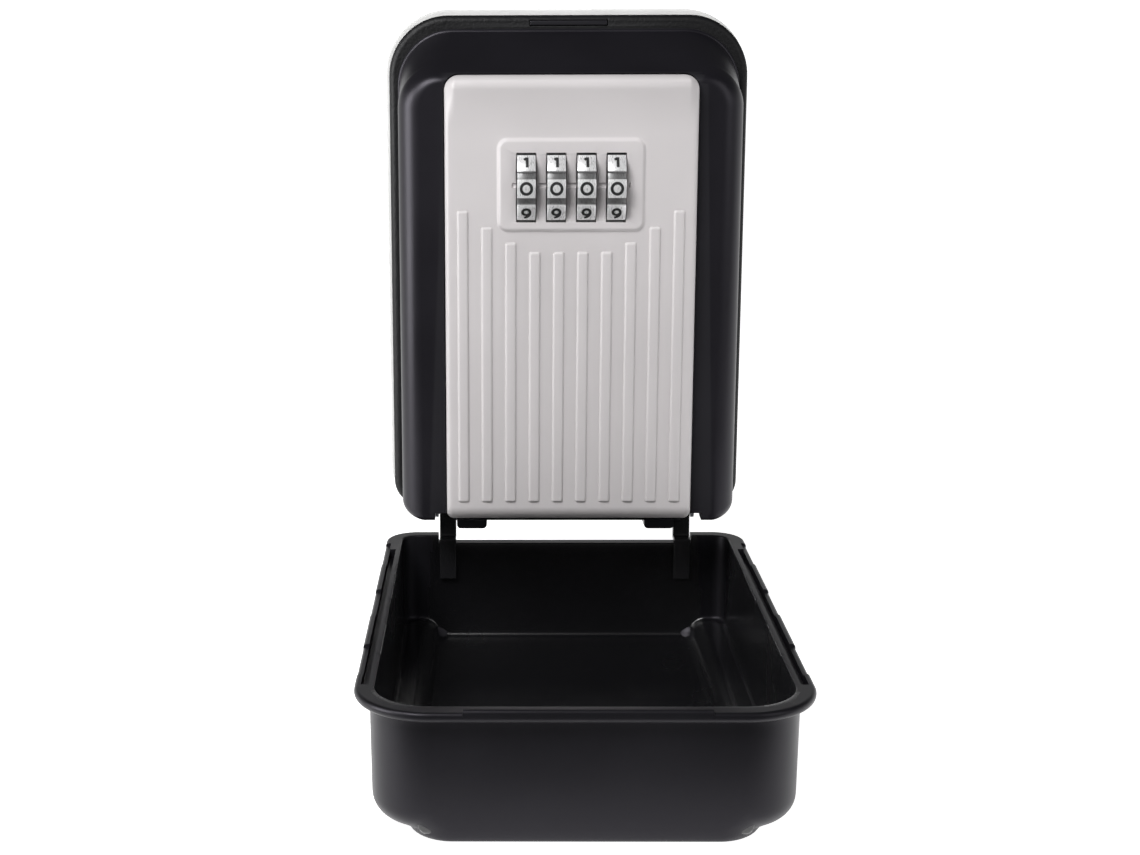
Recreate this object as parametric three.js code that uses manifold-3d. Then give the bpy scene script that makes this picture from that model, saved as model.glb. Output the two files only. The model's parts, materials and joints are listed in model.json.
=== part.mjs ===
// Wall-mounted key lock box with a dial door and a deep weather cover.
// X is to the right, Y runs into the wall and Z is up. The origin is the centre of the wall face.
// The door is drawn closed. The cover is drawn hanging open, with its rim level.
import * as THREE from 'three';
import { mergeVertices } from 'three/addons/utils/BufferGeometryUtils.js';
import Module from 'manifold-3d';

const wasm = await Module();
wasm.setup();

// general
const gap = 0.3; // between pieces that touch
const past = 2; // how far a cutter runs beyond what it cuts
const overlap = 0.2; // how far joined bodies run into each other

// base housing
const bodyWidth = 84;
const bodyHeight = 118.6;
const bodyDepth = 16;
const bodyTopRadius = 14;
const bodyBottomRadius = 6.5;
const bodyChamfer = 1.2;
const bodyWall = 2.5;
const lipSide = 6; // flange width beside the opening
const lipBottom = 6.1;
const lipTop = 8.5;
const openingLowRadius = 4;
const openingHighRadius = 9;
const wallHoleRadius = 2.4;
const wallHoleInsetX = 18;
const wallHoleInsetZ = 23;

// wall gasket
const gasketMargin = 1.5;
const gasketDepth = 2;
const gasketBand = 3.2; // how far it reaches in under the base

// hinge, shared by the door and the cover
const hingeDrop = 2.4; // axis below the base
const hingeSetback = 5.1; // axis behind the flange face
const pinRadius = 0.9;
const pinHoleRadius = 1.2;
const pinHeadRadius = 1.7;
const pinHeadWidth = 0.8;
const strapCentre = 29;
const strapWidth = 4.1;
const lugWidth = 3.9;
const knuckleWidth = 3.2;
const eyeRadius = 2.4;
const knuckleRadius = 2.2;

// door shell
const doorSideMargin = 2.5; // flange left showing beside the door
const doorBottomMargin = 1.7;
const doorTopMargin = 4.2;
const doorTopRadius = 12;
const doorBottomRadius = 5.5;
const doorSideDraft = 1.25;
const doorBottomDraft = 0.1;
const doorTopSlope = 9.3;
const doorWall = 2;
const doorFloorWall = 3;
const strapSlotDepth = 1.6;
const strapSlotClearance = 0.4;
const armThickness = 1.8;
const armBelowAxis = 2;
const armAboveAxis = 1.6;
const armRise = 1.5; // into the door's bottom wall

// front panel
const panelWidth = 57;
const panelProud = 3; // panel face in front of the shoulders
const panelBottomMargin = 0.6;
const panelTopMargin = 9.6;
const panelRadius = 3.3;
const panelThickness = 4.5;
const panelChamfer = 1;
const ribCount = 10;
const ribPitch = 5.44;
const ribWidth = 2.6;
const ribRaise = 0.5;
const ribFoot = 4.5; // above the panel's lower edge
const ribTopsBelowPanel = [30.1, 33.8, 37.3, 39.4, 39.4]; // outermost rib first
const panelScrewSide = 7;
const panelScrewLow = 12;
const panelScrewBelowLock = 14;
const panelScrewDepth = 3;

// dials
const dialDrop = 24.9; // axle below the panel's top
const dialCount = 4;
const dialPitch = 6.75;
const dialWidth = 4.45;
const dialRadius = 9.75;
const dialProud = 3.4; // beyond the dial frame
const dialBehind = 0.8; // between the wheels and the chassis
const dialBore = 3.5;
const landCount = 10;
const landAngle = 26;
const grooveDepth = 0.9;
const grooveSlope = 2; // degrees beside each land
const slotClearance = 0.4;
const windowMargin = 1.45; // door shell's opening beyond the detent spring
const earFront = 2.5; // chassis ear in front of the axle
const earHalfHeight = 4;
const frameSide = 4.5; // dial frame beside the end wheels
const frameEnd = 2.28; // dial frame above and below the slots
const frameRadius = 2.5;
const frameRaise = 0.8;
const frameBevel = 1;
const indexMargin = 1; // index groove beyond the end wheels
const indexHeight = 1.2;
const indexDepth = 0.4;
const axleRadius = 1.2;
const camRadius = 3.2;
const camDiscRadius = 6;
const camDiscWidth = 1.2;
const camBore = 1.5;
const camNotchHalf = 1.2;

// lock mechanism, by depth in front of the flange face
const coverPlateDepth = 0.5;
const coverPlateThickness = 1.2;
const coverPlateSide = 10.5; // beyond the springs
const coverPlateAbove = 1.2; // beyond the chassis
const coverPlateBelow = 3.5;
const coverPlateRadius = 3;
const plateScrewInset = 4;
const boltDepth = 2.3;
const boltThickness = 1.2;
const boltHalfWidth = 8;
const boltAboveAxle = 5;
const boltFootHeight = 4;
const boltEarDepth = 5; // springs push on these
const boltEarHeight = 1.2;
const boltEarHalf = 2;
const boltArmHeight = 1.5;
const boltArmClearance = 0.5;
const fingerGap = 0.5; // comb fingers above the cam discs
const fingerHeight = 2.5;
const fingerBehindAxle = 3.5;
const noseHalfWidth = 5;
const noseThickness = 1.9;
const noseClearance = 0.7; // under the strike when withdrawn
const chassisDepth = 3.9;
const chassisThickness = 1;
const chassisSide = 1.65; // beyond the ears
const chassisBelowDials = 5.75;
const chassisAboveDials = 9.75;
const chassisScrewInset = 2.5;
const chassisTabHalf = 2.5;
const chassisTabReach = 3; // beyond the springs' centres
const springTabReach = 2;
const springTabDepth = 4;
const springTabBelow = 10.2; // lower face, below the axle
const springTabHeight = 1;
const combWindowHeight = 7;
const tabRoot = 1; // into the plate
const earThickness = 1.2;
const detentThickness = 0.4;
const detentDrop = 1.2; // below the wheels
const detentFoot = 4;
const detentLeafHalf = 1.4;
const detentRoot = 2.5; // leaves join behind the axle
const detentTip = 0.6; // leaves end in front of the axle
const detentTipLength = 1;
const springSide = 4.15; // spring centre beyond the ears
const springRadius = 1.7;
const springWire = 0.35;
const springTurns = 6;
const strikeThickness = 1.6;
const strikeHalfWidth = 14;
const strikeHeight = 6;
const strikeOverlap = 0.6; // below the flange opening's upper edge
const strikeScrewInset = 3.5;
const resetHalfWidth = 5;
const resetLow = 13; // below the axle
const resetHigh = 5;
const knobHalfWidth = 1.5;
const knobLow = 11;
const knobHigh = 7;
const knobProud = 1.2; // behind the door's back
const resetSlotLeft = 5.2;
const resetSlotRight = 2.2;
const resetSlotMargin = 0.4;
const bossRadius = 2.6;
const screwHeadRadius = 2.1;
const screwHeadHeight = 1;
const screwShankRadius = 0.9;
const screwHoleRadius = 1.25;
const blindWall = 1; // left at the end of a blind hole
const chassisScrewLength = 4.5;
const plateScrewLength = 6;
const panelScrewLength = 4;
const strikeScrewGrip = 1.6;

// cover
const rimMarginSide = 2; // rim beyond the base, each side
const rimTopOverhang = 0.5; // rim above the base when shut
const rimBehindAxis = 0.5;
const rimGap = 0.4; // rim to flange when shut
const beadHeight = 2.6;
const beadOverhang = 2.75;
const coverWall = 1.25;
const coverFloor = 1.3;
const coverClearance = 1.2; // floor to dials when shut
const plateauDrop = 2.7; // deep middle below the side ledges
const ledgeFloor = 2.9;
const plateauWidth = 66.5;
const plateauRadius = 5.3;
const rimFrontRadius = 15;
const rimRearRadius = 7.5;
const coverDraft = 0.35;
const channelWidth = 1.5;
const channelDepth = 2.2;
const channelLip = 1.25;
const channelRearInset = 16;
const notchDepth = 2;
const raisedLipWidth = 46;
const raisedLipHeight = 0.6;
const gripWidth = 32;
const gripHeight = 1.6;
const gripDepth = 0.5;
const gripBelowRim = 0.6;
const smallestRadius = 1;
const leafThickness = 1.1;
const leafLength = 10.8;
const leafTop = 0.5; // below the rim
const strapFoot = 1.2;
const strapPlate = 2.5;

// cover catch
const catchWidth = 18;
const catchHeight = 1.2;
const catchBelowTop = 2.4;
const catchDepth = 1.6;

// places that follow from the sizes
const bodyBottom = -bodyHeight / 2;
const bodyTop = bodyHeight / 2;
const flangeY = -bodyDepth;
const hingeY = flangeY + hingeSetback;
const hingeZ = bodyBottom - hingeDrop;
const dialsHalf = (dialCount - 1) / 2 * dialPitch + dialWidth / 2;
const earInner = dialsHalf + camDiscWidth + 2 * gap;
const earOuter = earInner + earThickness;
const doorDepth = chassisDepth + chassisThickness + dialBehind + 2 * dialRadius
  - dialProud - frameRaise - panelProud; // flange face to shoulders
const panelDepth = doorDepth + panelProud;
const chassisHalfWidth = earOuter + chassisSide;
const chassisBelow = dialRadius + chassisBelowDials;
const chassisAbove = dialRadius + chassisAboveDials;
const springX = earOuter + springSide;
const coverPlateHalfWidth = springX + coverPlateSide;
const openingHalf = bodyWidth / 2 - lipSide;
const openingBottom = bodyBottom + lipBottom;
const openingTop = bodyTop - lipTop;
const doorWidth = bodyWidth - 2 * doorSideMargin;
const doorBottom = bodyBottom + doorBottomMargin;
const doorTop = bodyTop - doorTopMargin;
const doorBackY = flangeY - gap;
const shoulderY = flangeY - doorDepth;
const panelFaceY = flangeY - panelDepth;
const panelBackY = panelFaceY + panelThickness;
const cavityFrontY = panelBackY + gap + doorWall;
const panelBottom = doorBottom + panelBottomMargin;
const panelTop = doorTop - panelTopMargin;
const frameFaceY = panelFaceY - frameRaise;
const axleY = frameFaceY + dialRadius - dialProud;
const axleZ = panelTop - dialDrop;
const rimZ = hingeZ - hingeSetback - rimGap;
const rimRearY = hingeY + rimBehindAxis;
const rimWidth = bodyWidth + 2 * rimMarginSide;
const rimLength = bodyTop + rimTopOverhang - (hingeZ - rimBehindAxis);
const rimFrontY = rimRearY - rimLength;
const strapInner = strapCentre - strapWidth / 2;
const strapOuter = strapCentre + strapWidth / 2;
const lugOuter = strapInner - gap;
const lugInner = lugOuter - lugWidth;
const knuckleOuter = lugInner - gap;
const knuckleInner = knuckleOuter - knuckleWidth;
const slotHalf = Math.sqrt((dialRadius + slotClearance) ** 2 - (dialRadius - dialProud) ** 2);
const frameWidth = 2 * (dialsHalf + frameSide);
const frameHeight = 2 * (slotHalf + frameEnd);
const indexWidth = 2 * (dialsHalf + indexMargin);
const windowHalfHeight = dialRadius + detentDrop + windowMargin;
const coverDepth = panelDepth + frameRaise + dialProud + coverClearance - rimGap + coverFloor;
const ledgeDepth = coverDepth - plateauDrop;
const strikeLow = openingTop - strikeOverlap;
const coverPlateTop = axleZ + chassisAbove + coverPlateAbove;
const coverPlateBottom = axleZ - chassisBelow - coverPlateBelow;

const material = (color, roughness, metalness) =>
  new THREE.MeshStandardMaterial({ color, roughness, metalness });

const texturedBlack = material(0x1c1c1e, 0.75, 0);
const satinBlack = material(0x18181b, 0.45, 0);
const paleFoam = material(0xc9c8c6, 0.9, 0);
const warmGrey = material(0xc9c3c3, 0.45, 0);
const chromeFinish = material(0xd8d8da, 0.12, 1);
const zincSteel = material(0x9a9ca0, 0.4, 1);
const springSteel = material(0x7d8085, 0.35, 1);
const coverBlack = material(0x141416, 0.35, 0);

const object = new THREE.Group();

// --- solids ---

function solid(geometry) {
  const plain = geometry.clone();
  plain.deleteAttribute('normal');
  plain.deleteAttribute('uv');
  const merged = mergeVertices(plain, 1e-4);
  return new wasm.Manifold(new wasm.Mesh({
    numProp: 3,
    vertProperties: new Float32Array(merged.attributes.position.array),
    triVerts: new Uint32Array(merged.index.array),
  }));
}

function geometryOf(shape) {
  const mesh = shape.getMesh();
  const geometry = new THREE.BufferGeometry();
  geometry.setAttribute('position', new THREE.BufferAttribute(mesh.vertProperties, 3));
  geometry.setIndex(new THREE.BufferAttribute(mesh.triVerts, 1));
  geometry.computeVertexNormals();
  return geometry;
}

function add(name, shape, finish) {
  const mesh = new THREE.Mesh(geometryOf(shape), finish);
  mesh.name = name;
  object.add(mesh);
}

// a rectangle with its own radius at the low and high ends of its second axis
function outline(halfWidth, low, high, lowRadius, highRadius) {
  const shape = new THREE.Shape();
  shape.absarc(halfWidth - lowRadius, low + lowRadius, lowRadius, -Math.PI / 2, 0);
  shape.absarc(halfWidth - highRadius, high - highRadius, highRadius, 0, Math.PI / 2);
  shape.absarc(-halfWidth + highRadius, high - highRadius, highRadius, Math.PI / 2, Math.PI);
  shape.absarc(-halfWidth + lowRadius, low + lowRadius, lowRadius, Math.PI, 1.5 * Math.PI);
  shape.closePath();
  return shape;
}

function polygon(points) {
  return new THREE.Shape(points.map(([u, v]) => new THREE.Vector2(u, v)));
}

function extruded(shape, depth, curveSegments = 3) {
  return new THREE.ExtrudeGeometry(shape, { depth, bevelEnabled: false, curveSegments });
}

// an XZ outline from the back face forward, with its front end moved by place(x, z)
function facing(shape, backY, frontY, place = null, curveSegments = 3) {
  const geometry = extruded(shape, backY - frontY, curveSegments);
  geometry.rotateX(Math.PI / 2);
  geometry.translate(0, backY, 0);
  if (place) {
    moveEnd(geometry, (x, y) => y < (backY + frontY) / 2, place);
  }
  return solid(geometry);
}

function moveEnd(geometry, isEnd, place) {
  const position = geometry.attributes.position;
  for (let i = 0; i < position.count; i += 1) {
    if (isEnd(position.getX(i), position.getY(i), position.getZ(i))) {
      const [x, y, z] = place(position.getX(i), position.getY(i), position.getZ(i));
      position.setXYZ(i, x, y, z);
    }
  }
}

// an XY outline between two heights, with its low end moved by place
function standing(shape, lowZ, highZ, place = null, curveSegments = 3) {
  const geometry = extruded(shape, highZ - lowZ, curveSegments);
  geometry.translate(0, 0, lowZ);
  if (place) {
    moveEnd(geometry, (x, y, z) => z < (lowZ + highZ) / 2, place);
  }
  return solid(geometry);
}

// a YZ outline between two places along X
function across(shape, lowX, highX) {
  const geometry = extruded(shape, highX - lowX);
  const turn = new THREE.Matrix4().makeBasis(
    new THREE.Vector3(0, 1, 0), new THREE.Vector3(0, 0, 1), new THREE.Vector3(1, 0, 0));
  geometry.applyMatrix4(turn);
  geometry.translate(lowX, 0, 0);
  return solid(geometry);
}

function block(lowX, highX, lowY, highY, lowZ, highZ) {
  const geometry = new THREE.BoxGeometry(highX - lowX, highY - lowY, highZ - lowZ);
  geometry.translate((lowX + highX) / 2, (lowY + highY) / 2, (lowZ + highZ) / 2);
  return solid(geometry);
}

function rodX(radius, lowX, highX, y, z, sides = 16) {
  const geometry = new THREE.CylinderGeometry(radius, radius, highX - lowX, sides);
  geometry.rotateZ(Math.PI / 2);
  geometry.translate((lowX + highX) / 2, y, z);
  return solid(geometry);
}

function rodY(radius, lowY, highY, x, z, sides = 16) {
  const geometry = new THREE.CylinderGeometry(radius, radius, highY - lowY, sides);
  geometry.translate(x, (lowY + highY) / 2, z);
  return solid(geometry);
}

// a screw along Y, its head's underside at seatY and its tip towards the front
function screw(x, z, seatY, length) {
  const profile = [
    [0, seatY + screwHeadHeight], [screwHeadRadius, seatY + screwHeadHeight],
    [screwHeadRadius, seatY], [screwShankRadius, seatY],
    [screwShankRadius, seatY - length], [0, seatY - length],
  ];
  const points = profile.reverse().map(([r, y]) => new THREE.Vector2(r, y));
  const geometry = new THREE.LatheGeometry(points, 12);
  geometry.translate(x, 0, z);
  return solid(geometry);
}

// scales an outline's far end about X = 0 and between two heights
function towards(width0, width1, low0, high0, low1, high1) {
  return (x, y, z) => [
    x * width1 / width0, y, low1 + (z - low0) * (high1 - low1) / (high0 - low0)];
}

const sides = [['left', -1], ['right', 1]];

function span(side, inner, outer) {
  return side < 0 ? [-outer, -inner] : [inner, outer];
}

function corners(halfX, lowZ, highZ) {
  return [[-halfX, lowZ], [halfX, lowZ], [-halfX, highZ], [halfX, highZ]];
}

// --- base ---

function bodyOutline(grow) {
  return outline(bodyWidth / 2 + grow, bodyBottom - grow, bodyTop + grow,
    bodyBottomRadius + grow, bodyTopRadius + grow);
}

function baseHousing() {
  const chamferY = flangeY + bodyChamfer;
  const fieldInset = gasketBand + gap;
  const inset = 2 * bodyChamfer;
  let shape = facing(bodyOutline(0), -gasketDepth - gap, chamferY);
  shape = shape.add(facing(bodyOutline(0), chamferY, flangeY, towards(bodyWidth,
    bodyWidth - inset, bodyBottom, bodyTop, bodyBottom + bodyChamfer, bodyTop - bodyChamfer)));
  shape = shape.add(facing(bodyOutline(-fieldInset), 0, -gasketDepth - bodyWall));
  shape = shape.subtract(facing(bodyOutline(-bodyWall), -gasketDepth - bodyWall,
    flangeY + bodyWall));
  const opening = outline(openingHalf, openingBottom, openingTop,
    openingLowRadius, openingHighRadius);
  shape = shape.subtract(facing(opening, flangeY + bodyWall + past, flangeY - past));
  for (const [x, z] of wallHoles()) {
    shape = shape.subtract(rodY(wallHoleRadius, -bodyDepth / 2, past, x, z));
  }
  shape = shape.subtract(catchBlock(gap, past));
  for (const [, side] of sides) {
    shape = shape.add(hingeLug(side));
  }
  for (const x of [-1, 1]) {
    shape = shape.subtract(rodY(screwHoleRadius, flangeY + blindWall, flangeY + bodyWall + past,
      x * strikeScrewX(), strikeScrewZ(), 12));
  }
  return shape;
}

function wallHoles() {
  return corners(bodyWidth / 2 - wallHoleInsetX, bodyBottom + wallHoleInsetZ,
    bodyTop - wallHoleInsetZ);
}

function catchBlock(grow, forward) {
  const z = bodyTop - catchBelowTop;
  return block(-catchWidth / 2 - grow, catchWidth / 2 + grow, flangeY - forward,
    flangeY + catchDepth + grow, z - catchHeight / 2 - grow, z + catchHeight / 2 + grow);
}

function hingeLug(side) {
  const [low, high] = span(side, lugInner, lugOuter);
  const eye = rodX(eyeRadius, low, high, hingeY, hingeZ);
  const web = block(low, high, hingeY - eyeRadius, hingeY + eyeRadius,
    hingeZ, bodyBottom + bodyWall / 2);
  return eye.add(web).subtract(rodX(pinHoleRadius, low - past, high + past, hingeY, hingeZ));
}

function wallGasket() {
  return facing(bodyOutline(gasketMargin), 0, -gasketDepth)
    .subtract(facing(bodyOutline(-gasketBand), past, -gasketDepth - past));
}

function hingePin(side) {
  const [low, high] = span(side, knuckleInner - gap, strapOuter + gap);
  const [headLow, headHigh] = span(side, strapOuter + gap, strapOuter + gap + pinHeadWidth);
  return rodX(pinRadius, low, high, hingeY, hingeZ)
    .add(rodX(pinHeadRadius, headLow, headHigh, hingeY, hingeZ));
}

function strikeScrewX() {
  return strikeHalfWidth - strikeScrewInset;
}

function strikeScrewZ() {
  return openingTop + strikeHeight / 2;
}

function strikePlate() {
  const backY = flangeY + bodyWall + gap;
  let shape = block(-strikeHalfWidth, strikeHalfWidth, backY, backY + strikeThickness,
    strikeLow, strikeLow + strikeHeight);
  for (const x of [-1, 1]) {
    shape = shape.subtract(rodY(screwHoleRadius, backY - past, backY + past + strikeThickness,
      x * strikeScrewX(), strikeScrewZ(), 12));
  }
  return shape;
}

function addBase() {
  add('base_housing', baseHousing(), texturedBlack);
  add('wall_gasket', wallGasket(), paleFoam);
  add('cover_catch', catchBlock(0, -0.1), satinBlack);
  add('strike_plate', strikePlate(), zincSteel);
  const strikeBackY = flangeY + bodyWall + strikeThickness + 2 * gap;
  for (const [name, side] of sides) {
    add(`hinge_pin_${name}`, hingePin(side), zincSteel);
    add(`strike_screw_${name}`,
      screw(side * strikeScrewX(), strikeScrewZ(), strikeBackY, strikeThickness + strikeScrewGrip),
      zincSteel);
  }
}

// --- door ---

function doorOuter() {
  const shape = outline(doorWidth / 2, doorBottom, doorTop, doorBottomRadius, doorTopRadius);
  return facing(shape, doorBackY, shoulderY, towards(doorWidth, doorWidth - 2 * doorSideDraft,
    doorBottom, doorTop, doorBottom + doorBottomDraft, doorTop - doorTopSlope), 4);
}

function doorCavity() {
  const low = doorBottom + doorFloorWall;
  const high = doorTop - doorWall;
  const shape = outline(doorWidth / 2 - doorWall, low, high, doorBottomRadius - doorWall,
    doorTopRadius - doorWall);
  const width = doorWidth - 2 * doorWall;
  const slope = doorTopSlope * (doorBackY - cavityFrontY) / (doorBackY - shoulderY);
  return facing(shape, doorBackY + past, cavityFrontY, towards(width, width - 2 * doorSideDraft,
    low, high, low + doorBottomDraft, high - slope - doorWall / 2), 4);
}

function panelOutline(grow) {
  return outline(panelWidth / 2 + grow, panelBottom - grow, panelTop + grow,
    panelRadius / 2 + grow, panelRadius + grow);
}

function chassisScrews() {
  return corners(springX, axleZ - chassisBelow + chassisScrewInset,
    axleZ + chassisAbove - chassisScrewInset);
}

function plateScrews() {
  return corners(coverPlateHalfWidth - plateScrewInset, coverPlateBottom + plateScrewInset,
    coverPlateTop - plateScrewInset);
}

function panelScrews() {
  return corners(panelWidth / 2 - panelScrewSide, panelBottom + panelScrewLow,
    axleZ - chassisBelow - panelScrewBelowLock);
}

// a hollow post on the inside of the door's front wall
function boss(x, z, endY) {
  return rodY(bossRadius, cavityFrontY - doorWall / 2, endY, x, z, 12)
    .subtract(rodY(screwHoleRadius, cavityFrontY + blindWall, endY + past, x, z, 12));
}

function doorArm(side) {
  const [low, high] = span(side, knuckleInner, knuckleOuter);
  const knuckle = rodX(knuckleRadius, low, high, hingeY, hingeZ);
  const foot = hingeZ - armBelowAxis;
  const web = block(low, high, doorBackY - armThickness, hingeY, foot,
    hingeZ + armAboveAxis);
  const [plateLow, plateHigh] = span(side, knuckleInner, lugOuter);
  const riser = block(plateLow, plateHigh, doorBackY - armThickness, doorBackY, foot,
    doorBottom + armRise);
  return knuckle.add(web).add(riser)
    .subtract(rodX(pinHoleRadius, low - past, high + past, hingeY, hingeZ));
}

function doorShell() {
  let shape = doorOuter().subtract(doorCavity());
  shape = shape.subtract(facing(panelOutline(gap), panelBackY + gap, shoulderY - past));
  shape = shape.subtract(block(-earOuter - gap, earOuter + gap, shoulderY, cavityFrontY + past,
    axleZ - windowHalfHeight, axleZ + windowHalfHeight));
  for (const [x, z] of panelScrews()) {
    shape = shape.subtract(rodY(screwHoleRadius, panelBackY - past, cavityFrontY + past, x, z, 12));
  }
  for (const [x, z] of chassisScrews()) {
    shape = shape.add(boss(x, z, flangeY - chassisDepth - chassisThickness - gap));
  }
  for (const [x, z] of plateScrews()) {
    shape = shape.add(boss(x, z, flangeY - coverPlateDepth - coverPlateThickness - gap));
  }
  for (const [, side] of sides) {
    const [low, high] = span(side, strapInner - strapSlotClearance,
      strapOuter + strapSlotClearance);
    shape = shape.subtract(block(low, high, shoulderY - past, doorBackY + past,
      doorBottom - past, doorBottom + strapSlotDepth));
    shape = shape.add(doorArm(side));
  }
  return shape;
}

function dialCentres() {
  return Array.from({ length: dialCount }, (_, i) => (i - (dialCount - 1) / 2) * dialPitch);
}

function frontPanel() {
  const chamferY = panelFaceY + panelChamfer;
  const inset = 2 * panelChamfer;
  let shape = facing(panelOutline(0), panelBackY, chamferY);
  shape = shape.add(facing(panelOutline(0), chamferY, panelFaceY, towards(panelWidth,
    panelWidth - inset, panelBottom, panelTop, panelBottom + panelChamfer, panelTop - panelChamfer)));
  shape = shape.add(dialFrame());
  for (let i = 0; i < ribCount; i += 1) {
    shape = shape.add(rib(i));
  }
  for (const x of dialCentres()) {
    shape = shape.subtract(rodX(dialRadius + slotClearance, x - dialWidth / 2 - gap,
      x + dialWidth / 2 + gap, axleY, axleZ, 40));
    shape = shape.subtract(rodX(camDiscRadius + slotClearance, x + dialWidth / 2,
      x + dialWidth / 2 + camDiscWidth + 2 * gap, axleY, axleZ, 20));
  }
  shape = shape.subtract(block(-indexWidth / 2, indexWidth / 2, frameFaceY - past,
    frameFaceY + indexDepth, axleZ - indexHeight / 2, axleZ + indexHeight / 2));
  for (const [x, z] of panelScrews()) {
    shape = shape.subtract(rodY(screwHoleRadius, panelBackY - panelScrewDepth, panelBackY + past,
      x, z, 12));
  }
  return shape.subtract(block(-earOuter - gap, earOuter + gap, axleY - earFront - gap,
    panelBackY + past, axleZ - earHalfHeight - gap, axleZ + earHalfHeight + gap));
}

function dialFrame() {
  const low = axleZ - frameHeight / 2;
  const high = axleZ + frameHeight / 2;
  const shape = outline(frameWidth / 2, low, high, frameRadius, frameRadius);
  return facing(shape, panelFaceY + overlap, frameFaceY, towards(frameWidth,
    frameWidth - 2 * frameBevel, low, high, low + frameBevel, high - frameBevel));
}

function rib(i) {
  const x = (i - (ribCount - 1) / 2) * ribPitch;
  const drop = ribTopsBelowPanel[Math.min(i, ribCount - 1 - i)];
  return block(x - ribWidth / 2, x + ribWidth / 2, panelFaceY - ribRaise, panelFaceY + overlap,
    panelBottom + ribFoot, panelTop - drop);
}

function lockChassis() {
  const backY = flangeY - chassisDepth;
  const frontY = backY - chassisThickness;
  const low = axleZ - chassisBelow;
  const high = axleZ + chassisAbove;
  let shape = block(-chassisHalfWidth, chassisHalfWidth, frontY, backY, low, high);
  for (const [x, z] of chassisScrews()) {
    const [lowX, highX] = span(Math.sign(x), chassisHalfWidth - tabRoot,
      springX + chassisTabReach);
    shape = shape.add(block(lowX, highX, frontY, backY, z - chassisTabHalf,
      z + chassisTabHalf));
    shape = shape.subtract(rodY(screwHoleRadius, frontY - past, backY + past, x, z, 12));
  }
  for (const side of [-1, 1]) {
    const [earLow, earHigh] = span(side, earInner, earOuter);
    const [tabLow, tabHigh] = span(side, chassisHalfWidth - tabRoot, springX + springTabReach);
    shape = shape.add(block(earLow, earHigh, axleY - earFront, backY - overlap,
      axleZ - earHalfHeight, axleZ + earHalfHeight));
    shape = shape.subtract(rodX(axleRadius + gap, earLow - past, earHigh + past, axleY, axleZ));
    shape = shape.add(block(tabLow, tabHigh, frontY - springTabDepth, backY,
      axleZ - springTabBelow, axleZ - springTabBelow + springTabHeight));
  }
  const windowHalf = earInner - gap / 2;
  shape = shape.subtract(block(-windowHalf, windowHalf, frontY - past, backY + past,
    axleZ + camDiscRadius, axleZ + camDiscRadius + combWindowHeight));
  return shape;
}

function dialWheel(x) {
  const points = [];
  const toRadians = Math.PI / 180;
  for (let i = 0; i < landCount; i += 1) {
    const middle = 90 + i * 360 / landCount; // one land faces the front
    for (const [angle, radius] of [
      [-landAngle / 2 - grooveSlope, dialRadius - grooveDepth], [-landAngle / 2, dialRadius],
      [0, dialRadius], [landAngle / 2, dialRadius],
      [landAngle / 2 + grooveSlope, dialRadius - grooveDepth],
    ]) {
      const turn = (middle + angle) * toRadians;
      points.push([radius * Math.sin(turn), radius * Math.cos(turn)]);
    }
  }
  const wheel = across(polygon(points.reverse()), -dialWidth / 2, dialWidth / 2)
    .translate([x, axleY, axleZ]);
  return wheel.subtract(rodX(dialBore, x - dialWidth, x + dialWidth, axleY, axleZ, 20));
}

function dialCam(x) {
  const sleeve = rodX(camRadius, x - dialWidth / 2, x + dialWidth / 2 + gap, axleY, axleZ, 20);
  const discLow = x + dialWidth / 2 + gap;
  const disc = rodX(camDiscRadius, discLow, discLow + camDiscWidth, axleY, axleZ, 20);
  const notch = block(discLow - gap, discLow + past, axleY - camNotchHalf,
    axleY + camNotchHalf, axleZ + camRadius + overlap, axleZ + camDiscRadius + past);
  return sleeve.add(disc).subtract(notch)
    .subtract(rodX(camBore, x - dialWidth, x + dialWidth, axleY, axleZ, 12));
}

function detentSpring() {
  const z = axleZ - dialRadius - detentDrop;
  const top = z + detentThickness;
  const footY = flangeY - chassisDepth - chassisThickness - gap;
  const tipY = axleY - detentTip;
  let shape = block(-dialsHalf, dialsHalf, axleY + detentRoot, footY, z, top);
  shape = shape.add(block(-dialsHalf, dialsHalf, footY - detentThickness, footY,
    top - detentFoot, top));
  for (const x of dialCentres()) {
    shape = shape.add(block(x - detentLeafHalf, x + detentLeafHalf, tipY,
      axleY + detentRoot + overlap, z, top));
    shape = shape.add(block(x - detentLeafHalf, x + detentLeafHalf, tipY,
      tipY + detentTipLength, z, top + detentThickness));
  }
  return shape;
}

function latchBolt() {
  const backY = flangeY - boltDepth;
  const frontY = backY - boltThickness;
  const low = axleZ + boltAboveAxle;
  const armLow = coverPlateTop + boltArmClearance;
  const armHigh = armLow + boltArmHeight;
  const noseFrontY = flangeY + bodyWall + strikeThickness + 2 * gap;
  const noseBackY = noseFrontY + noseThickness;
  let shape = block(-boltHalfWidth, boltHalfWidth, frontY, backY, low, armHigh);
  shape = shape.add(block(-springX - boltEarHalf, springX + boltEarHalf, frontY, backY,
    low, low + boltFootHeight));
  shape = shape.add(block(-noseHalfWidth, noseHalfWidth, backY - overlap, noseBackY,
    armLow, armHigh));
  shape = shape.add(block(-noseHalfWidth, noseHalfWidth, noseFrontY, noseBackY, armLow,
    strikeLow - noseClearance));
  for (const side of [-1, 1]) {
    const [earLow, earHigh] = span(side, springX - boltEarHalf, springX + boltEarHalf);
    shape = shape.add(block(earLow, earHigh, frontY - boltEarDepth, frontY + overlap,
      low, low + boltEarHeight));
  }
  for (const x of dialCentres().slice(0, -1)) {
    const finger = x + dialWidth / 2 + gap;
    shape = shape.add(block(finger, finger + camDiscWidth, axleY + fingerBehindAxle,
      frontY + overlap, axleZ + camDiscRadius + fingerGap,
      axleZ + camDiscRadius + fingerGap + fingerHeight));
  }
  return shape;
}

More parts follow.
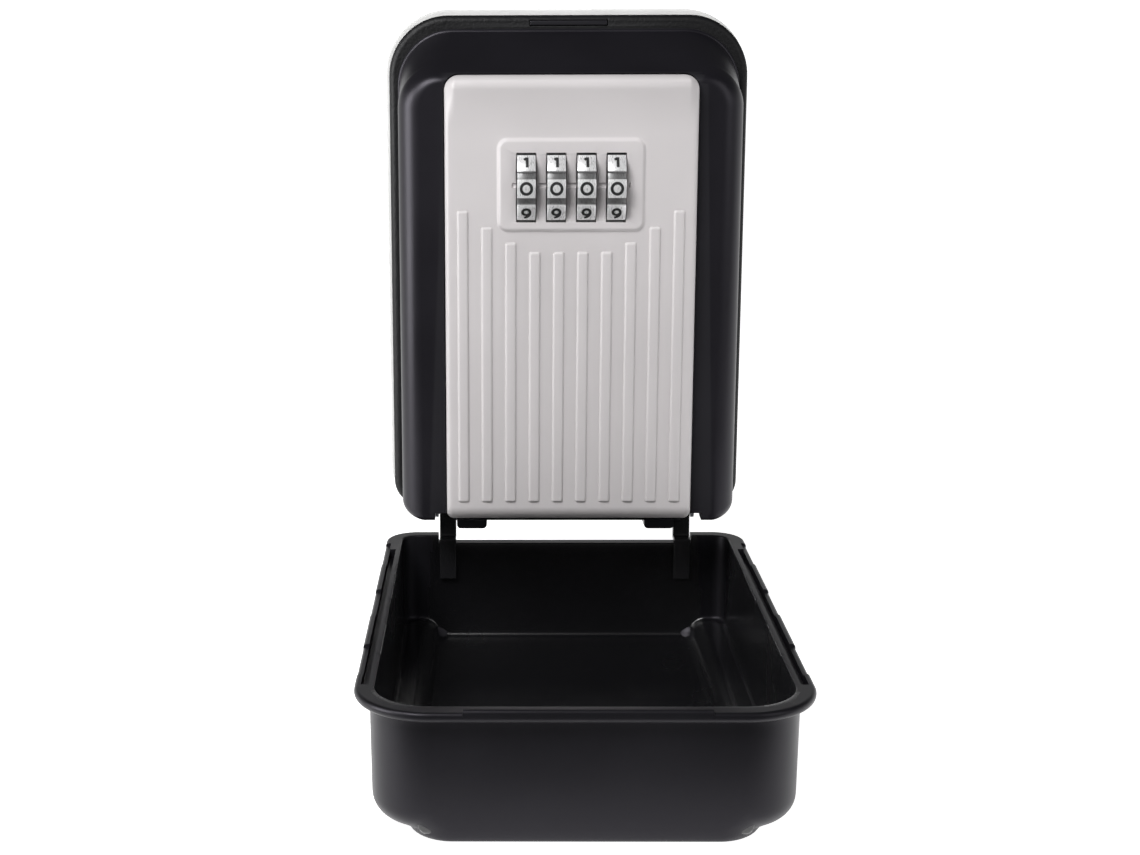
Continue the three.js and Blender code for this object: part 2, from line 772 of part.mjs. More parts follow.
function coilPath(x, y, lowZ, highZ) {
  const points = [];
  const steps = springTurns * 8;
  for (let i = 0; i <= steps; i += 1) {
    const turn = i / 8 * 2 * Math.PI;
    const z = lowZ + springWire + (highZ - lowZ - 2 * springWire) * i / steps;
    points.push(new THREE.Vector3(
      x + springRadius * Math.cos(turn), y + springRadius * Math.sin(turn), z));
  }
  return new THREE.CatmullRomCurve3(points);
}

function latchSpring(side) {
  const section = new THREE.Shape();
  section.absarc(0, 0, springWire, 0, 2 * Math.PI);
  const y = flangeY - chassisDepth - chassisThickness - springRadius - springWire - gap;
  const path = coilPath(side * springX, y, axleZ - springTabBelow + springTabHeight + gap,
    axleZ + boltAboveAxle - gap);
  return solid(new THREE.ExtrudeGeometry(section, {
    steps: springTurns * 8, extrudePath: path, curveSegments: 3, bevelEnabled: false }));
}

function resetLever() {
  const backY = flangeY - boltDepth;
  const plate = block(-resetHalfWidth, resetHalfWidth, backY - boltThickness, backY,
    axleZ - resetLow, axleZ - resetHigh);
  const knob = block(-knobHalfWidth, knobHalfWidth, backY - overlap, flangeY + knobProud,
    axleZ - knobLow, axleZ - knobHigh);
  return plate.add(knob);
}

function mechanismCover() {
  const frontY = flangeY - coverPlateDepth - coverPlateThickness;
  let shape = facing(outline(coverPlateHalfWidth, coverPlateBottom, coverPlateTop,
    coverPlateRadius, coverPlateRadius), flangeY - coverPlateDepth, frontY);
  shape = shape.subtract(block(-resetSlotLeft, resetSlotRight, frontY - past, flangeY + past,
    axleZ - knobLow - resetSlotMargin, axleZ - knobHigh + resetSlotMargin));
  for (const [x, z] of plateScrews()) {
    shape = shape.subtract(rodY(screwHoleRadius, frontY - past, flangeY + past, x, z, 12));
  }
  return shape;
}

function addScrews(name, places, seatY, length) {
  places.forEach(([x, z], i) => {
    add(`${name}_${i + 1}`, screw(x, z, seatY, length), zincSteel);
  });
}

function addDoor() {
  add('door_shell', doorShell(), satinBlack);
  add('front_panel', frontPanel(), warmGrey);
  add('lock_chassis', lockChassis(), zincSteel);
  add('detent_spring', detentSpring(), springSteel);
  add('mechanism_cover', mechanismCover(), zincSteel);
  add('dial_axle', rodX(axleRadius, -earOuter, earOuter, axleY, axleZ, 12), springSteel);
  addScrews('chassis_screw', chassisScrews(), flangeY - chassisDepth + gap,
    chassisScrewLength);
  addScrews('plate_screw', plateScrews(), flangeY - coverPlateDepth + gap,
    plateScrewLength);
  addScrews('panel_screw', panelScrews(), cavityFrontY + gap, panelScrewLength);
  add('reset_lever', resetLever(), zincSteel);
  add('latch_bolt', latchBolt(), zincSteel);
  for (const [name, side] of sides) {
    add(`latch_spring_${name}`, latchSpring(side), springSteel);
  }
  dialCentres().forEach((x, i) => {
    add(`dial_wheel_${i + 1}`, dialWheel(x), chromeFinish);
    add(`dial_cam_${i + 1}`, dialCam(x), zincSteel);
  });
}

// --- cover, hanging open ---

function coverOutline(inset) {
  return outline(rimWidth / 2 - inset, rimFrontY + inset, rimRearY - inset,
    Math.max(rimFrontRadius - inset, smallestRadius),
    Math.max(rimRearRadius - inset, smallestRadius));
}

function plateauOutline(inset) {
  const wall = beadOverhang + inset;
  return outline(plateauWidth / 2 - inset, rimFrontY + wall, rimRearY - wall,
    plateauRadius - inset, plateauRadius - inset);
}

function coverShell() {
  const middleY = (rimFrontY + rimRearY) / 2;
  const drawIn = (x, y, z) =>
    [x - Math.sign(x) * coverDraft, y - Math.sign(y - middleY) * coverDraft, z];
  const inner = beadOverhang + coverWall;
  let shape = standing(coverOutline(beadOverhang), rimZ - ledgeDepth, rimZ, drawIn, 4);
  shape = shape.add(standing(coverOutline(0), rimZ - beadHeight, rimZ, null, 4));
  shape = shape.add(standing(plateauOutline(coverDraft), rimZ - coverDepth,
    rimZ - ledgeDepth + overlap));
  shape = shape.subtract(standing(coverOutline(inner), rimZ - ledgeDepth + ledgeFloor, rimZ + past,
    drawIn, 4));
  shape = shape.subtract(standing(plateauOutline(coverWall + 2 * coverDraft),
    rimZ - coverDepth + coverFloor, rimZ - ledgeDepth + ledgeFloor + overlap));
  shape = shape.subtract(block(-strapOuter - gap, strapOuter + gap, rimRearY - inner - past,
    rimRearY + past, rimZ - notchDepth, rimZ + past));
  for (const side of [-1, 1]) {
    const outer = rimWidth / 2 - channelLip;
    const [low, high] = span(side, outer - channelWidth, outer);
    shape = shape.subtract(block(low, high, rimFrontY + rimFrontRadius,
      rimRearY - channelRearInset, rimZ - channelDepth, rimZ + past));
  }
  shape = shape.add(block(-raisedLipWidth / 2, raisedLipWidth / 2, rimFrontY, rimFrontY + channelLip,
    rimZ - overlap, rimZ + raisedLipHeight));
  shape = shape.subtract(block(-gripWidth / 2, gripWidth / 2, rimFrontY - past,
    rimFrontY + gripDepth, rimZ - gripBelowRim - gripHeight, rimZ - gripBelowRim));
  return shape;
}

function coverStrap(side) {
  const [low, high] = span(side, strapInner, strapOuter);
  const wallInnerY = rimRearY - beadOverhang - coverWall;
  const leafY = wallInnerY - gap;
  const plateY = rimRearY - strapPlate;
  const footTop = rimZ - leafTop;
  const foot = footTop - strapFoot;
  const profile = polygon([
    [leafY - leafThickness, rimZ - leafLength], [leafY, rimZ - leafLength], [leafY, foot],
    [rimRearY - overlap, foot], [rimRearY - overlap, hingeZ], [plateY, hingeZ],
    [plateY, footTop], [leafY - leafThickness, footTop],
  ]);
  return across(profile, low, high).add(rodX(eyeRadius, low, high, hingeY, hingeZ))
    .subtract(rodX(pinHoleRadius, low - past, high + past, hingeY, hingeZ));
}

function addCover() {
  add('cover_shell', coverShell(), coverBlack);
  for (const [name, side] of sides) {
    add(`cover_strap_${name}`, coverStrap(side), coverBlack);
  }
}

addBase();
addDoor();
addCover();

export default object;
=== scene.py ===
import json
from math import cos, hypot, pi, radians, sin, sqrt
import bmesh
import bpy
from mathutils import Matrix, Vector


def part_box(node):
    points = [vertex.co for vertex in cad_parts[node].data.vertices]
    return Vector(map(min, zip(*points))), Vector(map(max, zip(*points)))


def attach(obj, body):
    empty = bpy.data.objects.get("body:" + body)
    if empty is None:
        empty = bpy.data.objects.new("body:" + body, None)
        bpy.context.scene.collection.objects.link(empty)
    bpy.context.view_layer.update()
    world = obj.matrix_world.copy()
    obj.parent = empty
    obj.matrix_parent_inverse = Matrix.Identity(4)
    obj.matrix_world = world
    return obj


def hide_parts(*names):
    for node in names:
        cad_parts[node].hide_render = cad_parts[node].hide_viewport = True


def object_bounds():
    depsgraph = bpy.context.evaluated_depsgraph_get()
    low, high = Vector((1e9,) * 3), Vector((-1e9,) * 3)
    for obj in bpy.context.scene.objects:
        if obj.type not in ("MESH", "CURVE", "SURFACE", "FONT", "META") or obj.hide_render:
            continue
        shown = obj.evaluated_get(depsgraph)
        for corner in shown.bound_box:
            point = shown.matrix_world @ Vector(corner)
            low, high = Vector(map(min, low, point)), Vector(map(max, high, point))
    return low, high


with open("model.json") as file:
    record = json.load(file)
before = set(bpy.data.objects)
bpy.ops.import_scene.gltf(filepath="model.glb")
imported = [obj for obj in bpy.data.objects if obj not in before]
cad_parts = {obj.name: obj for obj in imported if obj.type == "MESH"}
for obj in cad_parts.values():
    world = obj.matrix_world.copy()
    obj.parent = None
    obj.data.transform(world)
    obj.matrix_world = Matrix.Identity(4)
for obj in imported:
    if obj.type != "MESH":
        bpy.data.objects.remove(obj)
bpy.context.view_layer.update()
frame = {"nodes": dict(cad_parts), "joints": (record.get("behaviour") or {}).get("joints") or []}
mm = 0.001

# places taken from the frame, in metres
joints = {joint["name"]: joint for joint in frame["joints"]}
hingeY, hingeZ = joints["cover_hinge"]["pos_m"][1:]
dialJoints = [joints[f"dial_{n}_spin"] for n in range(1, 5)]
axleY, axleZ = dialJoints[0]["pos_m"][1:]


# shader helpers

def ramp(tree, source, stops):
    node = tree.nodes.new("ShaderNodeValToRGB")
    elements = node.color_ramp.elements
    while len(elements) < len(stops):
        elements.new(0.5)
    for element, (place, value) in zip(elements, stops):
        element.position = place
        element.color = value if len(value) == 4 else (*value, 1)
    tree.links.new(source, node.inputs["Fac"])
    return node


def grey(value):
    return (value, value, value, 1)


def addNode(tree, kind, **inputs):
    node = tree.nodes.new(kind)
    for key, value in inputs.items():
        node.inputs[key.replace("_", " ")].default_value = value
    return node


# one sum of two sockets or of a socket and a value
def reckon(tree, operation, first, second):
    node = tree.nodes.new("ShaderNodeMath")
    node.operation = operation
    for source, target in zip((first, second), node.inputs):
        if isinstance(source, (int, float)):
            target.default_value = source
        else:
            tree.links.new(source, target)
    return node.outputs[0]


def objectPlace(tree):
    return tree.nodes.new("ShaderNodeTexCoord").outputs["Object"]


# a soft step between two values of the source
def softStep(tree, source, start, end, low, high):
    node = addNode(tree, "ShaderNodeMapRange", From_Min=start, From_Max=end, To_Min=low, To_Max=high)
    node.interpolation_type = "SMOOTHSTEP"
    tree.links.new(source, node.inputs["Value"])
    return node.outputs["Result"]


# mixes two colours and returns the node's colour
def mixColors(tree, factor, first, second, blend="MIX"):
    mix = tree.nodes.new("ShaderNodeMix")
    mix.data_type = "RGBA"
    mix.blend_type = blend
    for source, name in ((factor, "Factor"), (first, "A"), (second, "B")):
        if isinstance(source, (int, float, tuple)):
            mix.inputs[name].default_value = source
        else:
            tree.links.new(source, mix.inputs[name])
    return mix.outputs["Result"]


def blankMaterial(name):
    material = bpy.data.materials.new(name)
    material.use_nodes = True
    tree = material.node_tree
    return material, tree, tree.nodes["Principled BSDF"]


# camera, light and floor

shot = {
    "place": (-16.2 * mm, -433.3 * mm, 52.7 * mm),
    "turnDeg": -0.567,  # to the right
    "tiltDeg": 12.244,  # down
    "rollDeg": -0.174,
    "lensMm": 55.29,
    "shift": (0.0768, -0.0052),
}


def makeCamera():
    data = bpy.data.cameras.new("camera")
    data.lens = shot["lensMm"]
    data.sensor_width = 36
    data.shift_x, data.shift_y = shot["shift"]
    data.clip_start = 0.01
    camera = bpy.data.objects.new("camera", data)
    bpy.context.collection.objects.link(camera)
    turn = Matrix.Rotation(radians(-shot["turnDeg"]), 4, "Z")
    tilt = Matrix.Rotation(radians(90 - shot["tiltDeg"]), 4, "X")
    roll = Matrix.Rotation(radians(shot["rollDeg"]), 4, "Z")
    camera.matrix_world = Matrix.Translation(shot["place"]) @ turn @ tilt @ roll
    bpy.context.scene.camera = camera


def addArea(name, place, target, size, power, shinesOnly):
    data = bpy.data.lights.new(name, "AREA")
    data.shape = "RECTANGLE"
    data.size, data.size_y = size
    data.energy = power
    light = bpy.data.objects.new(name, data)
    light.location = place
    way = Vector(target) - Vector(place)
    light.rotation_euler = way.to_track_quat("-Z", "Y").to_euler()
    light.visible_diffuse = not shinesOnly
    bpy.context.collection.objects.link(light)


studio = {
    "room": 0.32,
    "backdrop": 1.3,
    "backdropFrom": (-0.9, 0.75),  # Y of the way looked in
    "ceiling": 0.04,
    "ceilingFrom": (0.08, 0.42),  # Z of the way looked in
    "floorSize": 12,
    "floorDrop": 0.3 * mm,
    "floorGlow": 1.02,
    "glowFrom": (-0.168, -0.136),
}


# the source for light and reflections, a plain value where it is looked at directly
def orSeen(tree, source, direct):
    path = tree.nodes.new("ShaderNodeLightPath")
    mix = tree.nodes.new("ShaderNodeMix")
    mix.inputs["B"].default_value = direct
    tree.links.new(path.outputs["Is Camera Ray"], mix.inputs["Factor"])
    tree.links.new(source, mix.inputs["A"])
    return mix.outputs["Result"]


# a bright backdrop behind the object and a dimmer room in front of it
def makeWorld():
    world = bpy.data.worlds.new("studio")
    world.use_nodes = True
    tree = world.node_tree
    background = tree.nodes["Background"]
    way = tree.nodes.new("ShaderNodeTexCoord").outputs["Generated"]
    split = tree.nodes.new("ShaderNodeSeparateXYZ")
    tree.links.new(way, split.inputs["Vector"])
    share = softStep(tree, split.outputs["Y"], *studio["backdropFrom"], studio["room"], studio["backdrop"])
    high = softStep(tree, split.outputs["Z"], *studio["ceilingFrom"], 1.0, studio["ceiling"])
    seen = orSeen(tree, reckon(tree, "MULTIPLY", share, high), studio["backdrop"])
    tree.links.new(seen, background.inputs["Strength"])
    background.inputs["Color"].default_value = (1, 1, 1, 1)
    bpy.context.scene.world = world


def makeFloor():
    low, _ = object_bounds()
    under = (0, 0, low.z - studio["floorDrop"])
    bpy.ops.mesh.primitive_plane_add(size=studio["floorSize"], location=under)
    floor = bpy.context.object
    floor.name = "floor"
    material, tree, shader = blankMaterial("paleFloor")
    shader.inputs["Roughness"].default_value = 0.9
    shader.inputs["Specular IOR Level"].default_value = 0.1
    shader.inputs["Emission Color"].default_value = (1, 1, 1, 1)
    split = tree.nodes.new("ShaderNodeSeparateXYZ")
    tree.links.new(objectPlace(tree), split.inputs["Vector"])
    glow = softStep(tree, split.outputs["Y"], *studio["glowFrom"], 0.0, studio["floorGlow"])
    seen = orSeen(tree, glow, studio["floorGlow"])
    tree.links.new(seen, shader.inputs["Emission Strength"])
    tone = ramp(tree, glow, [(0, grey(0.2)), (0.7, grey(0.93))])
    tree.links.new(tone.outputs["Color"], shader.inputs["Base Color"])
    floor.data.materials.append(material)


lamps = [
    # name, place, aimed at, size, power, only seen in reflections
    ("key", (-0.24, -0.40, 0.40), (0, -0.03, 0.02), (0.26, 0.26), 3.2, False),
    ("fill", (0.42, -0.42, 0.22), (0, -0.03, -0.02), (0.30, 0.5), 0.7, False),
    ("side", (-0.50, -0.24, 0.06), (0, -0.03, 0.0), (0.28, 0.42), 3.6, True),
]


def makeStage():
    makeWorld()
    makeFloor()
    bpy.context.scene.view_settings.view_transform = "Standard"
    for lamp in lamps:
        addArea(*lamp)


makeCamera()
makeStage()
print("camera, lights and floor made")


# mesh helpers

def newObject(name, verts, faces):
    mesh = bpy.data.meshes.new(name)
    mesh.from_pydata(verts, [], faces)
    thing = bpy.data.objects.new(name, mesh)
    bpy.context.collection.objects.link(thing)
    return thing


def dropObject(thing):
    bpy.data.objects.remove(thing)


def loftFaces(count, rings):
    faces = []
    for r in range(rings - 1):
        for i in range(count):
            j = (i + 1) % count
            faces.append((r * count + i, r * count + j, (r + 1) * count + j, (r + 1) * count + i))
    return faces


# joins the last ring to the first
def closingFaces(count, rings):
    last = (rings - 1) * count
    return [(last + i, last + (i + 1) % count, (i + 1) % count, i) for i in range(count)]


# rings are equally long closed loops; both ends are capped
def loft(name, rings):
    count = len(rings[0])
    verts = [p for ring in rings for p in ring]
    faces = loftFaces(count, len(rings))
    faces.append(tuple(reversed(range(count))))
    faces.append(tuple(range((len(rings) - 1) * count, len(rings) * count)))
    thing = newObject(name, verts, faces)
    tidyMesh(thing)
    return thing


def tidyMesh(thing, merge=1e-6):
    bm = bmesh.new()
    bm.from_mesh(thing.data)
    bmesh.ops.remove_doubles(bm, verts=bm.verts, dist=merge)
    bmesh.ops.dissolve_degenerate(bm, edges=bm.edges, dist=merge)
    bmesh.ops.recalc_face_normals(bm, faces=bm.faces)
    bm.to_mesh(thing.data)
    bm.free()


# an anticlockwise rounded rectangle in (u, v), with its own radius at each end of v
def roundLoop(halfWidth, low, high, lowRadius, highRadius, steps=10, sideSteps=1):
    corners = [
        (halfWidth - lowRadius, low + lowRadius, lowRadius, -90),
        (halfWidth - highRadius, high - highRadius, highRadius, 0),
        (-halfWidth + highRadius, high - highRadius, highRadius, 90),
        (-halfWidth + lowRadius, low + lowRadius, lowRadius, 180),
    ]
    points = []
    for u, v, radius, start in corners:
        for i in range(steps + 1):
            angle = radians(start + 90 * i / steps)
            points.append((u + radius * cos(angle), v + radius * sin(angle)))
    if sideSteps == 1:
        return points
    filled = []
    count = len(points)
    for i, point in enumerate(points):
        filled.append(point)
        if (i + 1) % (steps + 1) == 0:
            after = points[(i + 1) % count]
            for k in range(1, sideSteps):
                f = k / sideSteps
                filled.append((point[0] + (after[0] - point[0]) * f,
                               point[1] + (after[1] - point[1]) * f))
    return filled


def applyModifiers(thing):
    bpy.context.view_layer.update()
    graph = bpy.context.evaluated_depsgraph_get()
    mesh = bpy.data.meshes.new_from_object(thing.evaluated_get(graph))
    thing.modifiers.clear()
    old = thing.data
    thing.data = mesh
    mesh.name = old.name
    bpy.data.meshes.remove(old)


def boolean(thing, others, operation="DIFFERENCE"):
    for other in others:
        cut = thing.modifiers.new("cut", "BOOLEAN")
        cut.operation = operation
        cut.solver = "EXACT"
        cut.object = other
    applyModifiers(thing)
    for other in others:
        dropObject(other)


def shadeByAngle(thing, angle=35):
    bm = bmesh.new()
    bm.from_mesh(thing.data)
    for face in bm.faces:
        face.smooth = True
    limit = radians(angle)
    for edge in bm.edges:
        edge.smooth = len(edge.link_faces) == 2 and edge.calc_face_angle(0) < limit
    bm.to_mesh(thing.data)
    bm.free()


def bevelSharp(thing, width, segments, angle):
    mod = thing.modifiers.new("bevel", "BEVEL")
    mod.width = width
    mod.segments = segments
    mod.limit_method = "ANGLE"
    mod.angle_limit = radians(angle)
    mod.use_clamp_overlap = True
    applyModifiers(thing)


def weightNormals(thing):
    mod = thing.modifiers.new("weighted", "WEIGHTED_NORMAL")
    mod.keep_sharp = True
    mod.weight = 60
    applyModifiers(thing)


def finishPiece(thing, material, body, slot, *nodes):
    thing.data.materials.clear()
    thing.data.materials.append(material)
    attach(thing, body)
    if nodes:
        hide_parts(*nodes)


def box(name, low, high):
    verts = [(x, y, z) for x in (low[0], high[0]) for y in (low[1], high[1]) for z in (low[2], high[2])]
    faces = [(0, 1, 3, 2), (4, 6, 7, 5), (0, 4, 5, 1), (2, 3, 7, 6), (0, 2, 6, 4), (1, 5, 7, 3)]
    thing = newObject(name, verts, faces)
    tidyMesh(thing)
    return thing


def middleOf(node):
    low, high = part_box(node)
    return (low.x + high.x) / 2, (low.z + high.z) / 2


def smoothStep(low, high, value):
    f = min(max((value - low) / (high - low), 0), 1)
    return f * f * (3 - 2 * f)


def circle(radius, sides):
    return [(radius * cos(2 * pi * i / sides), radius * sin(2 * pi * i / sides)) for i in range(sides)]


# distance of a point from a rounded rectangle's edge, negative inside
def roundBox(x, y, halfX, halfY, radius):
    qx = abs(x) - halfX + radius
    qy = abs(y) - halfY + radius
    return hypot(max(qx, 0), max(qy, 0)) + min(max(qx, qy), 0) - radius


# materials

def addGloss(tree, shader, source, look, start):
    gloss = ramp(tree, source, [
        (start, grey(look["roughness"] - look["roughDrift"])),
        (1 - start, grey(look["roughness"] + look["roughDrift"]))])
    tree.links.new(gloss.outputs["Color"], shader.inputs["Roughness"])


def addBump(tree, shader, height, look):
    bump = addNode(tree, "ShaderNodeBump", Strength=look["bump"], Distance=look["bumpDepth"])
    tree.links.new(height, bump.inputs["Height"])
    tree.links.new(bump.outputs["Normal"], shader.inputs["Normal"])


# painted or moulded surface: grain, mottled gloss, tone drift and paler worn edges
def moulded(name, look):
    material, tree, shader = blankMaterial(name)
    link = tree.links.new
    place = objectPlace(tree)
    grain = addNode(tree, "ShaderNodeTexNoise", Scale=look["grainScale"], Detail=4.0)
    drift = addNode(tree, "ShaderNodeTexNoise", Scale=look["driftScale"], Detail=3.0)
    link(place, grain.inputs["Vector"])
    link(place, drift.inputs["Vector"])
    base = look["color"]
    darker = tuple(c * (1 - look["drift"]) for c in base)
    lighter = tuple(c * (1 + look["drift"]) for c in base)
    tone = ramp(tree, drift.outputs["Fac"], [(0.3, darker), (0.7, lighter)])
    geometry = tree.nodes.new("ShaderNodeNewGeometry")
    worn = ramp(tree, geometry.outputs["Pointiness"], [(0.52, grey(0)), (0.62, grey(1))])
    amount = reckon(tree, "MULTIPLY", worn.outputs["Color"], look["wear"])
    mixed = mixColors(tree, amount, tone.outputs["Color"], (*look["edge"], 1))
    link(mixed, shader.inputs["Base Color"])
    addGloss(tree, shader, drift.outputs["Fac"], look, 0.25)
    height = grain.outputs["Fac"]
    if look.get("cells"):
        cells = addNode(tree, "ShaderNodeTexVoronoi", Scale=look["cells"])
        cells.feature = "SMOOTH_F1"
        link(place, cells.inputs["Vector"])
        height = reckon(tree, "ADD", cells.outputs["Distance"], grain.outputs["Fac"])
    addBump(tree, shader, height, look)
    shader.inputs["Specular IOR Level"].default_value = look.get("specular", 0.5)
    shader.inputs["Specular Tint"].default_value = (*look.get("tint", (1, 1, 1)), 1)
    return material


# plated or drawn metal: streaks along one axis, fine scratches and darker patches
def metal(name, look):
    material, tree, shader = blankMaterial(name)
    link = tree.links.new
    place = objectPlace(tree)
    stretch = addNode(tree, "ShaderNodeMapping", Scale=look["stretch"])
    link(place, stretch.inputs["Vector"])
    streak = addNode(tree, "ShaderNodeTexNoise", Scale=look["streakScale"], Detail=5.0)
    patch = addNode(tree, "ShaderNodeTexNoise", Scale=look["patchScale"], Detail=3.0)
    link(stretch.outputs["Vector"], streak.inputs["Vector"])
    link(place, patch.inputs["Vector"])
    base = look["color"]
    tone = ramp(tree, patch.outputs["Fac"], [
        (0.3, tuple(c * (1 - look["drift"]) for c in base)), (0.7, base)])
    link(tone.outputs["Color"], shader.inputs["Base Color"])
    addGloss(tree, shader, streak.outputs["Fac"], look, 0.3)
    addBump(tree, shader, streak.outputs["Fac"], look)
    shader.inputs["Metallic"].default_value = 1.0
    return material


texturedBlack = moulded("texturedBlack", {
    "color": (0.006, 0.006, 0.0068), "edge": (0.05, 0.05, 0.052), "wear": 0.35, "drift": 0.15,
    "roughness": 0.5, "roughDrift": 0.06, "grainScale": 1400, "driftScale": 60,
    "cells": 1700, "bump": 0.55, "bumpDepth": 0.12 * mm, "specular": 0.25})
satinBlack = moulded("satinBlack", {
    "color": (0.0085, 0.008, 0.0105), "edge": (0.035, 0.035, 0.038), "wear": 0.3, "drift": 0.12,
    "roughness": 0.36, "roughDrift": 0.04, "grainScale": 2600, "driftScale": 45,
    "bump": 0.12, "bumpDepth": 0.03 * mm, "specular": 0.32, "tint": (0.93, 0.89, 1.0)})
coverBlack = moulded("coverBlack", {
    "color": (0.007, 0.0068, 0.0084), "edge": (0.03, 0.03, 0.032), "wear": 0.35, "drift": 0.12,
    "roughness": 0.38, "roughDrift": 0.05, "grainScale": 2400, "driftScale": 40,
    "bump": 0.14, "bumpDepth": 0.03 * mm, "specular": 0.24, "tint": (0.93, 0.89, 1.0)})
innerBlack = moulded("innerBlack", {
    "color": (0.006, 0.006, 0.0072), "edge": (0.03, 0.03, 0.033), "wear": 0.5, "drift": 0.12,
    "roughness": 0.26, "roughDrift": 0.04, "grainScale": 900, "driftScale": 30,
    "bump": 0.06, "bumpDepth": 0.04 * mm, "specular": 0.75})
warmGrey = moulded("warmGrey", {
    "color": (0.675, 0.645, 0.65), "edge": (0.68, 0.65, 0.655), "wear": 0.4, "drift": 0.025,
    "roughness": 0.42, "roughDrift": 0.05, "grainScale": 2200, "driftScale": 35,
    "bump": 0.1, "bumpDepth": 0.03 * mm})
paleFoam = moulded("paleFoam", {
    "color": (0.82, 0.82, 0.81), "edge": (0.85, 0.85, 0.84), "wear": 0.2, "drift": 0.06,
    "roughness": 0.85, "roughDrift": 0.05, "grainScale": 1800, "driftScale": 80,
    "cells": 1300, "bump": 0.5, "bumpDepth": 0.15 * mm, "specular": 0.2})
digitPaint = moulded("digitPaint", {
    "color": (0.01, 0.01, 0.011), "edge": (0.02, 0.02, 0.02), "wear": 0.1, "drift": 0.2,
    "roughness": 0.5, "roughDrift": 0.08, "grainScale": 3000, "driftScale": 200,
    "bump": 0.1, "bumpDepth": 0.01 * mm})
chromeDial = metal("chromeDial", {
    "color": (0.92, 0.92, 0.925), "drift": 0.05, "roughness": 0.3, "roughDrift": 0.06,
    "stretch": (8, 1, 1), "streakScale": 900, "patchScale": 300, "bump": 0.05,
    "bumpDepth": 0.01 * mm})


# painted shade between the lands, by distance from the axle, and a softer shine
def paintGrooveShade(material, landRadius, grooveRadius):
    tree = material.node_tree
    link = tree.links.new
    shader = tree.nodes["Principled BSDF"]
    step = objectPlace(tree)
    for operation, value in (("SUBTRACT", (0, axleY, axleZ)), ("MULTIPLY", (0, 1, 1)), ("LENGTH", None)):
        node = tree.nodes.new("ShaderNodeVectorMath")
        node.operation = operation
        if value:
            node.inputs[1].default_value = value
        link(step, node.inputs[0])
        step = node.outputs["Value" if operation == "LENGTH" else "Vector"]
    share = addNode(tree, "ShaderNodeMapRange", From_Min=grooveRadius, From_Max=landRadius)
    link(step, share.inputs["Value"])
    # painted shade: the dial colour darkens towards the groove bottoms
    shade = ramp(tree, share.outputs["Result"], [(0.1, grey(0.22)), (0.85, grey(1))])
    plain = shader.inputs["Base Color"].links[0].from_socket
    link(mixColors(tree, 1, plain, shade.outputs["Color"], "MULTIPLY"), shader.inputs["Base Color"])
    shader.inputs["Metallic"].default_value = 0.45


paintGrooveShade(chromeDial, 9.7 * mm, 8.9 * mm)
zincSteel = metal("zincSteel", {
    "color": (0.56, 0.57, 0.6), "drift": 0.14, "roughness": 0.36, "roughDrift": 0.1,
    "stretch": (1, 1, 12), "streakScale": 700, "patchScale": 160, "bump": 0.12,
    "bumpDepth": 0.02 * mm})
springSteel = metal("springSteel", {
    "color": (0.42, 0.43, 0.46), "drift": 0.15, "roughness": 0.28, "roughDrift": 0.08,
    "stretch": (10, 1, 1), "streakScale": 900, "patchScale": 400, "bump": 0.1,
    "bumpDepth": 0.015 * mm})
print("materials made")


# weather cover

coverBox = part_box("cover_shell")
cover = {
    "halfWidth": coverBox[1].x,
    "rearY": coverBox[1].y,
    "frontY": coverBox[0].y,
    "rimZ": hingeZ - 5.5 * mm,
    "depth": 27.3 * mm,
    "frontRadius": 15 * mm,
    "rearRadius": 7.5 * mm,
    "beadHeight": 2.3 * mm,
    "beadOverhang": 2.95 * mm,
    "beadRound": 1.2 * mm,
    "beadFlat": 0.25 * mm,  # under the round
    "crown": 0.75 * mm,
    "innerEdge": 0.3 * mm,
    "coveRadius": 0.7 * mm,
    "wall": 0.95 * mm,
    "draft": 0.2 * mm,
    "ledge": 1.6 * mm,  # side ledges above the bottom
    "ledgeRound": 4.8 * mm,
    "plateauHalf": 34 * mm,
    "plateauRadius": 9 * mm,
    "bottomRound": 1.7 * mm,
    "floor": 1.3 * mm,
    "wellHalf": 31.35 * mm,
    "wellRound": 4.3 * mm,
    "innerRound": 1.1 * mm,
    "lip": 1.25 * mm,
    "channel": 1.5 * mm,
    "channelDepth": 2.2 * mm,
    "channelRear": 15.9 * mm,
    "channelFront": 107 * mm,
    "notchHalf": 31.35 * mm,
    "notchDepth": 2 * mm,
    "raisedHalf": 23 * mm,
    "raised": 0.6 * mm,
    "lowered": 0.55 * mm,
    "loweredRuns": [(10.8, 28.0), (47.6, 65.0), (84.0, 101.0)],
    "padRuns": [(35.3, 54.2), (71.5, 90.2)],
    "pad": 0.1 * mm,
    "padFadeLow": 9 * mm,
    "padFadeHigh": 1 * mm,
    "nearSide": 6 * mm,  # from the outline, where a place counts as on the side
    "nearEnd": 5 * mm,
    "innerStart": 0.6 * mm,  # under the notch
    "bevelledFloor": 0.5 * mm,
    "plateauFade": (-0.7 * mm, 1.3 * mm),
    "stationStep": 0.6 * mm,
    "sideStep": 1.0 * mm,
}


